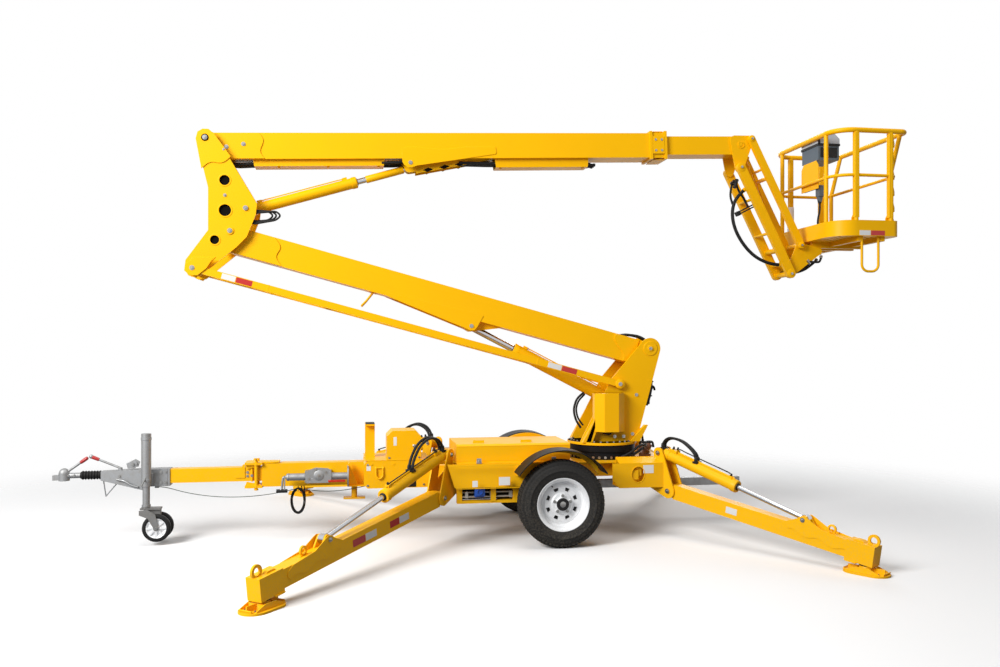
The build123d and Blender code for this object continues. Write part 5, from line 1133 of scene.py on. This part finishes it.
bolts("lower_boom_bolts", "lower_boom", [(lower @ Vector((2.104, side * 0.1150, -0.2220)), (0, side, 0))
        for side in (-1, 1)], 0.026, 0.010)

# Elbow: thick cut plates. Plated pin ends and bolts, a waved doubler at its top, a folded
# bracket at the link pin and black cable loops inside.
upper_pivot = (-2.3721, 3.2600)
elbow_holes = (((-2.221, 2.923), 0.045), ((-2.218, 2.680), 0.052), ((-2.298, 2.440), 0.040))
bm = bmesh.new()
for side in (-1, 1):
    y0, y1 = side * 0.1700, side * 0.1780
    top = [(-2.300, 3.292), (-2.345, 3.330), (-2.390, 3.330), (-2.430, 3.305), (-2.444, 3.250), (-2.400, 3.010)]
    wave = [(-2.398 + 0.225 * k / 20, 3.010 + 0.105 * (k / 20) + 0.022 * math.sin(math.tau * (k / 20)))
        for k in range(1, 21)]
    sheet_on(bm, top + wave, y0, y1)
    sheet_on(bm, [(-2.470, 2.300), (-2.530, 2.200), (-2.500, 2.150), (-2.440, 2.130), (-2.300, 2.290),
            (-2.290, 2.300)], side * 0.1700, side * 0.1745)
    sheet_on(bm, [(-2.440, 2.296), (-2.300, 2.290), (-2.355, 2.205), (-2.425, 2.148), (-2.480, 2.150),
            (-2.515, 2.190), (-2.515, 2.240)], side * 0.2160, side * 0.2220)
made("elbow_doublers", bm, "elbow", "yellow", yellow_paint, 40, bevel=0.0012)
bm = bmesh.new()
for side in (-1, 1):
    for (px, pz), r in elbow_holes:
        lathe(bm, [(0.1660, r - 0.004), (0.1725, r - 0.004), (0.1735, r + 0.002), (0.1725, r + 0.007),
                (0.1660, r + 0.007)], (px, 0, pz), (0, side, 0), 40, closed=True)
made("elbow_hole_rims", bm, "elbow", "yellow", yellow_paint, 40)
# black discs just inside the three elbow holes: painted shade of the hollow between the plates
bm = bmesh.new()
for side in (-1, 1):
    for (px, pz), r in elbow_holes:
        lathe(bm, [(0.1480, 0), (0.1480, r + 0.009), (0.1520, r + 0.009), (0.1520, 0)], (px, 0, pz), (0, side, 0),
            32)
made("elbow_hole_painted_shade", bm, "elbow", "black", hole_shade_and_case_black, 40)
bm = bmesh.new()
for k in range(3):
    tube_on(bm, [(-2.080, -0.128 - 0.008 * k, 2.650 - 0.015 * k), (-2.000, -0.130 - 0.008 * k, 2.600 - 0.012 * k),
            (-1.880 + 0.03 * k, -0.132 - 0.008 * k, 2.612), (-1.840 + 0.03 * k, -0.130 - 0.008 * k, 2.650),
            (-1.880 + 0.03 * k, -0.128 - 0.008 * k, 2.685), (-1.990, -0.128 - 0.008 * k, 2.690 - 0.012 * k),
            (-2.080, -0.128 - 0.008 * k, 2.665 - 0.015 * k)], 0.008, 12, 0.03)
made("elbow_hoses", bm, "elbow", "rubber", rubber, 50)
for name, spots, wide in (("elbow_pins", ((*upper_pivot, 0.1860), (-2.1801, 2.5160, 0.1780),
        (-2.0581, 2.7020, 0.1780), (-2.4651, 2.2090, 0.2220)), 0.030),
    ("elbow_bolts", ((-2.228, 3.170, 0.1700), (-2.219, 2.802, 0.1702)), 0.020)):
    bolts(name, "elbow", [((x, side * y, z), (0, side, 0)) for x, z, y in spots for side in (-1, 1)], wide, 0.010)

# Upper boom: box section with waved doublers at the elbow, a curved cylinder bracket whose diamond cut outs are
# black plates of painted shade, hose trays below it, and a bolted wear collar where the inner boom leaves.
upper = Matrix.Translation((upper_pivot[0], 0, upper_pivot[1])) @ Matrix.Rotation(math.radians(-2.2), 4, "Y")
upper_top, upper_bottom = 0.0540, -0.1600
bm = bmesh.new()
for side in (-1, 1):
    y0, y1 = side * 0.1100, side * 0.1180
    sheet_on(bm, [(0.020, upper_top - 0.002)] + waved(0.415, 0.455, upper_top - 0.002, upper_bottom + 0.002, 0.022)
        + [(0.100, upper_bottom + 0.002)], y0, y1)
bm.transform(upper)
made("upper_boom_doublers", bm, "upper_boom", "yellow", yellow_paint, 40, bevel=0.0012)
bm = bmesh.new()
for side in (-1, 1):
    outline = [(1.576, -0.190), (1.590, -0.215), (1.620, -0.236), (1.655, -0.236), (1.700, -0.222), (2.370, -0.128),
        (2.380, -0.110), (2.372, -0.068)]
    outline += [(2.372 - 0.792 * k / 24, -0.066 - 0.020 * max(0,
            math.sin(math.pi * (k - 8) / 12)) * (8 <= k <= 20)) for k in range(1, 24)] + [(1.576, -0.085)]
    sheet_on(bm, outline, side * 0.1100, side * 0.1160)
bm.transform(upper)
made("luff_bracket_plates", bm, "upper_boom", "yellow", yellow_paint, 40, bevel=0.0012)
bm = bmesh.new()
for side in (-1, 1):
    sheet_on(bm, [(1.690, -0.205), (1.690, -0.278), (2.140, -0.200), (2.140, -0.150)], side * 0.0500, side * 0.0540)
bm.transform(upper)
made("luff_bracket_flange", bm, "upper_boom", "yellow", yellow_paint, 40, bevel=0.001)
# black diamonds on the bracket flanges: painted shade standing for the diamond cut outs
bm = bmesh.new()
for side in (-1, 1):
    for s, h in ((1.793, -0.246), (1.935, -0.222), (2.070, -0.199)):
        sheet_on(bm, [(s - 0.046, h - 0.004), (s - 0.004, h - 0.020), (s + 0.046, h + 0.004),
                (s + 0.004, h + 0.018)], side * 0.0535, side * 0.0547)
bm.transform(upper)
made("luff_bracket_diamond_shade", bm, "upper_boom", "black", hole_shade_and_case_black, 40)
bm = bmesh.new()
for s0, s1, low in ((0.355, 1.432, -0.212), (2.368, 3.200, -0.232)):
    for y in (-0.074, 0.074):
        sheet_on(bm, [(s0, upper_bottom + 0.002), (s0 + 0.010, low), (s1 - 0.010, low), (s1, upper_bottom + 0.002)],
            y - 0.0015, y + 0.0015)
    box_on(bm, s0 + 0.010, s1 - 0.010, -0.0755, 0.0755, low - 0.0015, low + 0.0015)
for s in (0.560, 0.960, 1.380, 2.420, 3.150):
    tube_on(bm, [(s, -0.040, -0.205), (s, -0.040, -0.222 if s < 2 else -0.240)], 0.012, 12)
bm.transform(upper)
made("hose_trays", bm, "upper_boom", "yellow", yellow_paint, 40, bevel=0.0008)
bm = bmesh.new()
for y in (-0.055, -0.030, -0.005, 0.020, 0.045):
    tube_on(bm, [(0.120, y * 0.8, -0.165), (0.210, y, -0.196), (0.360, y, -0.190), (0.420, y, -0.190)], 0.013, 10,
        0.06)
    tube_on(bm, [(2.060, y, -0.188), (2.200, y, -0.192), (2.320, y, -0.196), (2.420, y, -0.196)], 0.013, 10, 0.05)
for y in (-0.080, -0.055, 0.055, 0.080):
    tube_on(bm, [(1.405, y * 0.85, -0.190), (1.500, y, -0.188), (1.600, y, -0.182), (1.660, y, -0.176)], 0.013, 10,
        0.03)
for y in (-0.045, 0.0, 0.045):
    lathe(bm, [(0, 0), (0, 0.016), (0.030, 0.016), (0.032, 0.011), (0.055, 0.011), (0.057, 0.014), (0.075, 0.014),
            (0.075, 0)], (3.190, y, -0.205), (0.99, 0, -0.10), 12)
bm.transform(upper)
made("upper_boom_hoses", bm, "upper_boom", "rubber", rubber, 50)
bm = bmesh.new()
for h0, h1 in ((upper_top + 0.012, upper_top + 0.018), (upper_bottom - 0.022, upper_bottom - 0.016)):
    box_on(bm, 3.780, 3.875, -0.100, 0.100, h0, h1)
for side in (-1, 1):
    sheet_on(bm, [(3.775, -0.130), (3.880, -0.130), (3.880, 0.024), (3.775, 0.024)], side * 0.1258, side * 0.1285)
bm.transform(upper)
made("collar_pads", bm, "upper_boom", "yellow", yellow_paint, 40, bevel=0.001)
bolts("collar_bolts", "upper_boom", [(upper @ Vector((s, side * 0.1285, h)), (0, side, 0)) for s in (3.800, 3.855)
        for h in (-0.100, -0.006) for side in (-1, 1)]
    + [(upper @ Vector((s, y, upper_top + 0.018)), up) for s in (3.800, 3.855) for y in (-0.060, 0.060)], 0.016,
    0.006)
bolts("upper_boom_bolts", "upper_boom", [(upper @ Vector((s, side * y, h)), (0, side, 0)) for side in (-1, 1) for s,
        h, y in ((0.290, -0.040, 0.1180), (0.155, -0.062, 0.1180), (1.643, -0.196, 0.1160))], 0.026, 0.010)

# Cylinders: yellow barrels with end glands, port blocks and steel oil lines; bright rods, and
# on the upper one a yellow sleeve over the rod's far half.
def ram_dress(name, base, eye, radius, length, rod_radius, barrel, out=1):
    # collar, gland, ports and an oil line on the barrel between the two eyes
    place = side_frame(base, eye)
    lip = 0.0045 if out > 0 else 0.0012
    bm = bmesh.new()
    lathe(bm, [(0.052, radius * 0.9), (0.052, radius + lip), (0.070, radius + lip), (0.074, radius * 0.9)],
        (0, 0, 0), (1, 0, 0), 40)
    lathe(bm, [(length - 0.048, radius * 0.9), (length - 0.046, radius + lip), (length - 0.006, radius + lip),
            (length + 0.001, radius - 0.004), (length + 0.004, rod_radius + 0.004),
            (length + 0.004, rod_radius + 0.0012)], (0, 0, 0), (1, 0, 0), 40)
    for s in (0.110, length - 0.090):
        box_on(bm, s - 0.018, s + 0.018, -0.018, 0.018, *sorted((out * (radius - 0.006), out * (radius + 0.016))))
    bm.transform(place)
    made(name + "_collars", bm, barrel, "yellow", yellow_paint, 40, bevel=0.0012)
    bm = bmesh.new()
    tube_on(bm, [(0.125, 0, out * (radius + 0.008)), (0.160, 0, out * (radius + 0.010)),
            (length - 0.140, 0, out * (radius + 0.010)), (length - 0.105, 0, out * (radius + 0.008))], 0.005, 12,
        0.01)
    for s in (0.128, length - 0.108):
        lathe(bm, [(-0.008, 0.008), (-0.007, 0.009), (0.007, 0.009), (0.008, 0.008)],
            (s, 0, out * (radius + 0.008)), (1, 0, 0), 6)
    bm.transform(place)
    made(name + "_oil_line", bm, barrel, "yellow", yellow_paint, 45)
    bm = bmesh.new()
    lathe(bm, [(length + 0.0035, rod_radius + 0.0010), (length + 0.0035, rod_radius + 0.0075),
            (length + 0.0075, rod_radius + 0.0055), (length + 0.0085, rod_radius + 0.0010)], (0, 0, 0), (1, 0, 0),
        40)
    bm.transform(place)
    made(name + "_wiper", bm, barrel, "rubber", rubber, 45)
    return place


lower_base, lower_eye = (1.0419, 1.1100), (-0.2061, 1.7540)
luff_base, luff_eye = (-2.0581, 2.7020), (-0.7281, 3.1000)
jib_base, jib_eye = (2.3011, 3.2735), (2.6371, 2.4625)
ram_dress("lower_ram", lower_base, lower_eye, 0.0550, 0.9750, 0.0300, "lower_barrel", -1)
luff = ram_dress("luff_ram", luff_base, luff_eye, 0.0450, 0.9300, 0.0240, "upper_barrel")
jib_ram = ram_dress("jib_ram", jib_base, jib_eye, 0.0300, 0.5600, 0.0140, "jib_barrel")
luff_long = math.dist(luff_base, luff_eye)
bm = bmesh.new()
lathe(bm, [(1.010, 0.0242), (1.010, 0.0290), (1.014, 0.0312), (luff_long - 0.055, 0.0312),
        (luff_long - 0.050, 0.0290), (luff_long - 0.050, 0.0242)], (0, 0, 0), (1, 0, 0), 36)
bm.transform(luff)
made("luff_rod_sleeve", bm, "upper_rod", "yellow", yellow_paint, 45)
bm = bmesh.new()
lathe(bm, [(0.525, 0.0305), (0.527, 0.0355), (0.558, 0.0355), (0.570, 0.0300), (0.575, 0.0160), (0.575, 0.0148)],
    (0, 0, 0), (1, 0, 0), 32)
bm.transform(jib_ram)
made("jib_ram_cap", bm, "jib_barrel", "rubber", rubber, 45)

# Jib: flat parallel arms on plated pins, with cross rungs, a hose clamp across the near arm,
# tee fittings at the head and short hoses at the basket's end. The long hose is a cord.
jib_top, jib_low, jib_up, jib_out = (2.2161, 3.1785), (2.6931, 2.2355), (2.3151, 3.4365), (2.7921, 2.4935)
arm, bar = side_frame(jib_top, jib_low), side_frame(jib_up, jib_out)
jib_long = math.dist(jib_top, jib_low)
bm = bmesh.new()
for side in (-1, 1):
    for s in (0, jib_long):
        lathe(bm, [(0.1555, 0.0400), (0.1580, 0.0395), (0.1590, 0.0370)], (s, 0, 0), (0, side, 0), 36)
    sheet_on(bm, [(0.075, -0.0285), (jib_long - 0.075, -0.0285), (jib_long - 0.075, -0.0225), (0.075, -0.0225)],
        side * 0.1560, side * 0.1575)
    sheet_on(bm, [(0.075, 0.0225), (jib_long - 0.075, 0.0225), (jib_long - 0.075, 0.0285), (0.075, 0.0285)],
        side * 0.1560, side * 0.1575)
tube_on(bm, [(0.300, -0.120, -0.030), (0.300, 0.120, -0.030)], 0.013, 14)
tube_on(bm, [(0.640, -0.120, -0.030), (0.640, 0.120, -0.030)], 0.013, 14)
bm.transform(arm)
made("jib_arm_bosses", bm, "jib_arm", "yellow", yellow_paint, 40, bevel=0.001)
bm = bmesh.new()
for side in (-1, 1):
    for s in (0, jib_long):
        lathe(bm, [(0.1555, 0.0300), (0.1580, 0.0295), (0.1590, 0.0280)], (s, 0, 0), (0, side, 0), 36)
tube_on(bm, [(0.290, -0.120, 0.0), (0.290, 0.120, 0.0)], 0.012, 14)
bm.transform(bar)
made("jib_link_bosses", bm, "jib_link", "yellow", yellow_paint, 40, bevel=0.001)
bolts("jib_arm_pins", "jib_arm", [(arm @ Vector((s, side * 0.1585, 0)), (0, side, 0)) for s in (0, jib_long)
        for side in (-1, 1)], 0.024, 0.010)
bolts("jib_link_pins", "jib_link", [(bar @ Vector((s, side * 0.1585, 0)), (0, side, 0)) for s in (0, jib_long)
        for side in (-1, 1)], 0.022, 0.010)
bm = bmesh.new()
lathe(bm, [(0.1100, 0.0300), (0.1160, 0.0300), (0.1160, 0.0230), (0.1100, 0.0230)], (2.232, 0, 3.385), near, 36,
    closed=True)
made("jib_head_rim", bm, "inner_boom", "yellow", yellow_paint, 40)
bm = bmesh.new()
clamp = 0.360
for s in (clamp - 0.010, clamp + 0.010):
    tube_on(bm, [(s, -0.080, -0.185), (s, -0.080, -0.150), (s, -0.080, -0.040), (s, -0.110, 0.020)], 0.0065, 10,
        0.01)
box_on(bm, clamp - 0.020, clamp + 0.020, -0.112, -0.050, -0.200, -0.170)
bm.transform(arm)
made("jib_hose_clamp", bm, "jib_arm", "rubber", rubber, 45, bevel=0.001)
bm = bmesh.new()
tee = Vector((2.1900, -0.080, 3.0300))
lathe(bm, [(-0.030, 0.012), (-0.028, 0.015), (0.028, 0.015), (0.030, 0.012)], tee, (0.4, 0, 1), 12)
lathe(bm, [(0.000, 0.010), (0.030, 0.012), (0.032, 0.016), (0.048, 0.016), (0.050, 0.010)], tee, (-0.9, 0, 0.4), 6)
lathe(bm, [(-0.020, 0.015), (-0.018, 0.018), (0.018, 0.018), (0.020, 0.015)], tee + Vector((0.010, 0, 0.034)),
    (0.4, 0, 1), 6)
made("jib_tee", bm, "jib_arm", "black", cap_black, 40)
bm = bmesh.new()
tube_on(bm, [(2.185, -0.060, 3.080), (2.158, -0.060, 3.010), (2.150, -0.060, 2.930), (2.172, -0.062, 2.860)], 0.010,
    12, 0.04)
tube_on(bm, [(2.210, -0.040, 3.080), (2.235, -0.040, 2.990), (2.290, -0.040, 2.920), (2.330, -0.040, 2.840)], 0.010,
    12, 0.04)
made("jib_head_hoses", bm, "jib_arm", "rubber", rubber, 50)

# Basket mount: cheek plates with plated pins, black hoses looping under the mount and plated
# fittings on the cross block that carries the floor.
bm = bmesh.new()
for side in (-1, 1):
    tube_on(bm, [(2.700, side * 0.0672, 2.262), (2.780, side * 0.0672, 2.250), (2.870, side * 0.0672, 2.282),
            (2.930, side * 0.0672, 2.325), (2.975, side * 0.0672, 2.362)], 0.012, 12, 0.05)
tube_on(bm, [(2.720, -0.030, 2.262), (2.800, -0.030, 2.262), (2.880, -0.030, 2.295), (2.930, -0.030, 2.345),
        (2.960, -0.030, 2.380)], 0.010, 12, 0.05)
tube_on(bm, [(2.880, -0.110, 2.350), (2.930, -0.125, 2.345), (2.985, -0.120, 2.345), (3.010, -0.100, 2.390)], 0.010,
    12, 0.03)
tube_on(bm, [(2.900, 0.090, 2.350), (2.950, 0.100, 2.342), (3.000, 0.095, 2.350), (3.015, 0.090, 2.390)], 0.010, 12,
    0.03)
made("mount_hoses", bm, "basket", "rubber", rubber, 50)
bm = bmesh.new()
for at, toward in (((2.978, -0.067, 2.366), (0.6, 0, 0.8)), ((2.978, 0.067, 2.366), (0.6, 0, 0.8)),
    ((2.962, -0.030, 2.384), (0.5, 0, 0.9)), ((3.010, -0.100, 2.392), up), ((2.880, -0.110, 2.352), (-0.6, 0, 0.6)),
    ((2.900, 0.090, 2.352), (-0.6, 0, 0.6)), ((3.015, 0.090, 2.392), up)):
    lathe(bm, [(-0.018, 0.0115), (-0.004, 0.013), (-0.003, 0.0165), (0.012, 0.0165), (0.018, 0.012), (0.018, 0)],
        at, toward, 6)
made("mount_fittings", bm, "basket", "steel", plated, 40)

# Basket dress: grip holes in the floor plate darkened by black discs of painted shade, toe board strips, feet on
# the posts, a control box with a two tone lid and switches, a yellow guard in front of it and a white band of
# painted highlight on a post.
grid_copies, given, result = node_tree("grid copies",
    (("Across", "NodeSocketInt"), ("Along", "NodeSocketInt"), ("Length", "NodeSocketFloat"),
        ("Width", "NodeSocketFloat"), ("Centre", "NodeSocketVector"), ("Paint", "NodeSocketMaterial")))
g, join = grid_copies.nodes, grid_copies.links.new
sheet = g.new("GeometryNodeMeshGrid")
copies = g.new("GeometryNodeInstanceOnPoints")
placed = g.new("GeometryNodeTransform")
real = g.new("GeometryNodeRealizeInstances")
painted = g.new("GeometryNodeSetMaterial")
for label, socket in (("Length", "Size X"), ("Width", "Size Y"), ("Along", "Vertices X"), ("Across", "Vertices Y")):
    join(given.outputs[label], sheet.inputs[socket])
join(sheet.outputs["Mesh"], copies.inputs["Points"])
join(given.outputs["Geometry"], copies.inputs["Instance"])
join(copies.outputs[0], placed.inputs["Geometry"])
join(given.outputs["Centre"], placed.inputs["Translation"])
join(placed.outputs[0], real.inputs[0])
join(real.outputs[0], painted.inputs["Geometry"])
join(given.outputs["Paint"], painted.inputs["Material"])
join(painted.outputs[0], result.inputs[0])
floor_low, floor_top = 2.5315, 2.5615
field = dict(Across=17, Along=8, Length=0.42, Width=1.00, Centre=(3.167, 0, 0))
bm = bmesh.new()
lathe(bm, [(floor_low - 0.0030, 0.0130), (floor_low - 0.0030, 0.0150), (floor_low + 0.0010, 0.0190),
        (floor_low + 0.0010, 0.0130)], (0, 0, 0), up, 12, closed=True)
lathe(bm, [(floor_top - 0.0010, 0.0130), (floor_top - 0.0010, 0.0190), (floor_top + 0.0030, 0.0150),
        (floor_top + 0.0030, 0.0130)], (0, 0, 0), up, 12, closed=True)
grown("floor_grip_rims", bm, grid_copies, "basket", "yellow", yellow_paint, 40, **field)
# black discs at both faces of the floor in each grip hole: painted shade in the holes
bm = bmesh.new()
for low, high in ((floor_low - 0.0008, floor_low + 0.0010), (floor_top - 0.0010, floor_top + 0.0008)):
    lathe(bm, [(low, 0), (low, 0.0132), (high, 0.0132), (high, 0)], (0, 0, 0), up, 12)
grown("floor_grip_hole_shade", bm, grid_copies, "basket", "black", hole_shade_and_case_black, 40, **field)
for name, paint, x0, x1 in (("white", strip_white, 3.085, 3.188), ("red", strip_red, 3.192, 3.322)):
    bm = bmesh.new()
    for side in (-1, 1):
        box_on(bm, x0, x1, min(side * 0.600, side * 0.6012), max(side * 0.600, side * 0.6012), 2.536, 2.578)
    made("toe_strip_" + name, bm, "basket", "chrome", paint, 40, bevel=0.0003)
bm = bmesh.new()
rail_posts = [(3.067, -0.575), (3.067, 0.575), (3.387, -0.575), (3.387, 0.575)]
for x, y in rail_posts:
    sheet_on(bm, [(x - 0.030, 2.610), (x + 0.030, 2.610), (x + 0.030, 2.690), (x + 0.018, 2.715),
            (x - 0.018, 2.715), (x - 0.030, 2.690)], y - 0.021 * (1 if y > 0 else -1),
        y - 0.026 * (1 if y > 0 else -1))
made("post_feet", bm, "basket", "yellow", yellow_paint, 40, bevel=0.0008)
bolts("post_feet_bolts", "basket", [((x + dx, 0.5490 * (1 if y > 0 else -1), z), near if y > 0 else far) for x,
        y in rail_posts for dx, z in ((-0.018, 2.640), (0.018, 2.640))], 0.012, 0.005)

cabinet_x0, cabinet_x1, cabinet_y0, cabinet_y1 = 2.911, 3.111, -0.230, 0.060
lid_grey = finish("lid_grey", (0.46, 0.50, 0.55), 0.3, specular=0.6, shade=0.08, dust=0.1, grain=0.02)
bm = bmesh.new()
sheet_on(bm, [(cabinet_x0 - 0.004, 3.385), (cabinet_x0 - 0.004, 3.445), (cabinet_x0 + 0.058, 3.5035),
        (cabinet_x1 - 0.058, 3.5035), (cabinet_x1 + 0.004, 3.445), (cabinet_x1 + 0.004, 3.385)], cabinet_y0 - 0.006,
    cabinet_y1 + 0.006)
made("console_lid", bm, "basket", "rubber", lid_grey, 40, bevel=0.003)
bm = bmesh.new()
sheet_on(bm, [(cabinet_x0 - 0.007, 3.380), (cabinet_x0 - 0.007, 3.400), (cabinet_x1 + 0.007, 3.400),
        (cabinet_x1 + 0.007, 3.380)], cabinet_y0 - 0.009, cabinet_y1 + 0.009)
sheet_on(bm, [(cabinet_x0 - 0.007, 3.390), (cabinet_x0 - 0.007, 3.447), (cabinet_x0 + 0.054, 3.5032),
        (cabinet_x0 + 0.068, 3.5032), (cabinet_x0 + 0.014, 3.447), (cabinet_x0 + 0.014, 3.390)], cabinet_y0 - 0.009,
    cabinet_y0 - 0.004)
sheet_on(bm, [(cabinet_x0 + 0.060, 3.494), (cabinet_x0 + 0.060, 3.5034), (cabinet_x1 - 0.060, 3.5034),
        (cabinet_x1 - 0.060, 3.494)], cabinet_y0 - 0.009, cabinet_y0 - 0.004)
made("console_lid_edge", bm, "basket", "black", cap_black, 40, bevel=0.001)
bm = bmesh.new()
box_on(bm, cabinet_x0 + 0.020, cabinet_x1 - 0.020, cabinet_y0 - 0.0035, cabinet_y0 + 0.001, 3.275, 3.365)
box_on(bm, cabinet_x0 + 0.030, cabinet_x0 + 0.120, cabinet_y0 - 0.0060, cabinet_y0 - 0.0030, 3.290, 3.350)
box_on(bm, cabinet_x1 - 0.001, cabinet_x1 + 0.0040, cabinet_y0 + 0.020, cabinet_y1 - 0.020, 3.275, 3.372)
made("console_panel", bm, "basket", "plastic", cap_black, 40, bevel=0.001)
bm = bmesh.new()
for k in range(4):
    lathe(bm, [(0, 0.0130), (0.006, 0.0130), (0.008, 0.0105), (0.012, 0.0100), (0.013, 0.0088), (0.013, 0)],
        (cabinet_x1 + 0.0038, cabinet_y0 + 0.050 + 0.063 * k, 3.345), ahead, 20)
    lathe(bm, [(0, 0.0090), (0.004, 0.0090), (0.006, 0.0050), (0.026, 0.0040), (0.030, 0.0050), (0.030, 0)],
        (cabinet_x1 + 0.0038, cabinet_y0 + 0.050 + 0.063 * k, 3.302), ahead, 12)
made("console_switches", bm, "basket", "black", cap_black, 40)
bm = bmesh.new()
lathe(bm, [(0, 0.0180), (0.008, 0.0180), (0.010, 0.0110), (0.018, 0.0110), (0.020, 0.0200), (0.030, 0.0200),
        (0.034, 0.0160), (0.035, 0)], (cabinet_x1 - 0.060, cabinet_y0 + 0.145, 3.395), ahead, 28)
made("console_stop_button", bm, "basket", "chrome", red_plastic, 40)
bm = bmesh.new()
guard = [(-0.235, 2.996), (-0.235, 3.205), (-0.195, 3.252), (0.025, 3.252), (0.065, 3.205), (0.065, 2.996)]
low_ring = [bm.verts.new((cabinet_x0 - 0.004, y, z)) for y, z in guard]
high_ring = [bm.verts.new((cabinet_x0 + 0.001, y, z)) for y, z in guard]
bm.faces.new(low_ring)
bm.faces.new(high_ring[::-1])
for k in range(len(guard)):
    n = (k + 1) % len(guard)
    bm.faces.new((low_ring[k], high_ring[k], high_ring[n], low_ring[n]))
made("console_guard", bm, "basket", "yellow", yellow_paint, 40, bevel=0.001)
bm = bmesh.new()
box_on(bm, cabinet_x0 + 0.016, cabinet_x0 + 0.066, -0.215, -0.150, 2.930, 3.030)
sheet_on(bm, [(cabinet_x0 + 0.020, 2.932), (cabinet_x0 + 0.062, 2.932), (cabinet_x0 + 0.050, 2.880),
        (cabinet_x0 + 0.032, 2.880)], -0.205, -0.160)
made("console_plug_box", bm, "basket", "plastic", grey_plastic, 40, bevel=0.003)
bm = bmesh.new()
tube_on(bm, [(cabinet_x0 + 0.041, -0.182, 2.885), (cabinet_x0 + 0.041, -0.182, 2.800),
        (cabinet_x0 + 0.020, -0.182, 2.720), (cabinet_x0 + 0.030, -0.170, 2.640),
        (cabinet_x0 + 0.030, -0.165, 2.560)], 0.009, 12, 0.04)
lathe(bm, [(-0.020, 0.0095), (-0.014, 0.0150), (0.006, 0.0160), (0.010, 0.0110)],
    (cabinet_x0 + 0.041, -0.182, 2.880), (0, 0, -1), 16)
made("console_cable", bm, "basket", "rubber", rubber, 50)
# white band round the middle of the far front post: a painted highlight for glare on the yellow post
bm = bmesh.new()
lathe(bm, [(2.690, 0.0120), (2.690, 0.0300), (2.694, 0.0320), (2.946, 0.0320), (2.950, 0.0300), (2.950, 0.0120)],
    (3.067, 0.575, 0), up, 28)
made("post_painted_glare", bm, "basket", "chrome", plate_white, 45)
bm = bmesh.new()
for side in (-1, 1):
    edge = [(3.400, 2.670), (3.400, 3.405), (3.428, 3.405)]
    for z in (3.300, 3.160, 3.020, 2.880, 2.740):
        edge += [(3.440, z + 0.045), (3.440, z + 0.010), (3.424, z), (3.424, z - 0.030)]
    sheet_on(bm, edge + [(3.436, 2.670)], side * 0.5550, side * 0.5600)
made("gate_straps", bm, "basket", "yellow", yellow_paint, 40, bevel=0.0008)
bm = bmesh.new()
for x, y in rail_posts:
    foot_z, head_z = 2.690, 3.425
    box_on(bm, x - 0.021, x + 0.021, y - 0.021, y + 0.021, foot_z, head_z)
made("post_tubes", bm, "basket", "yellow", yellow_paint, 40, bevel=0.004)
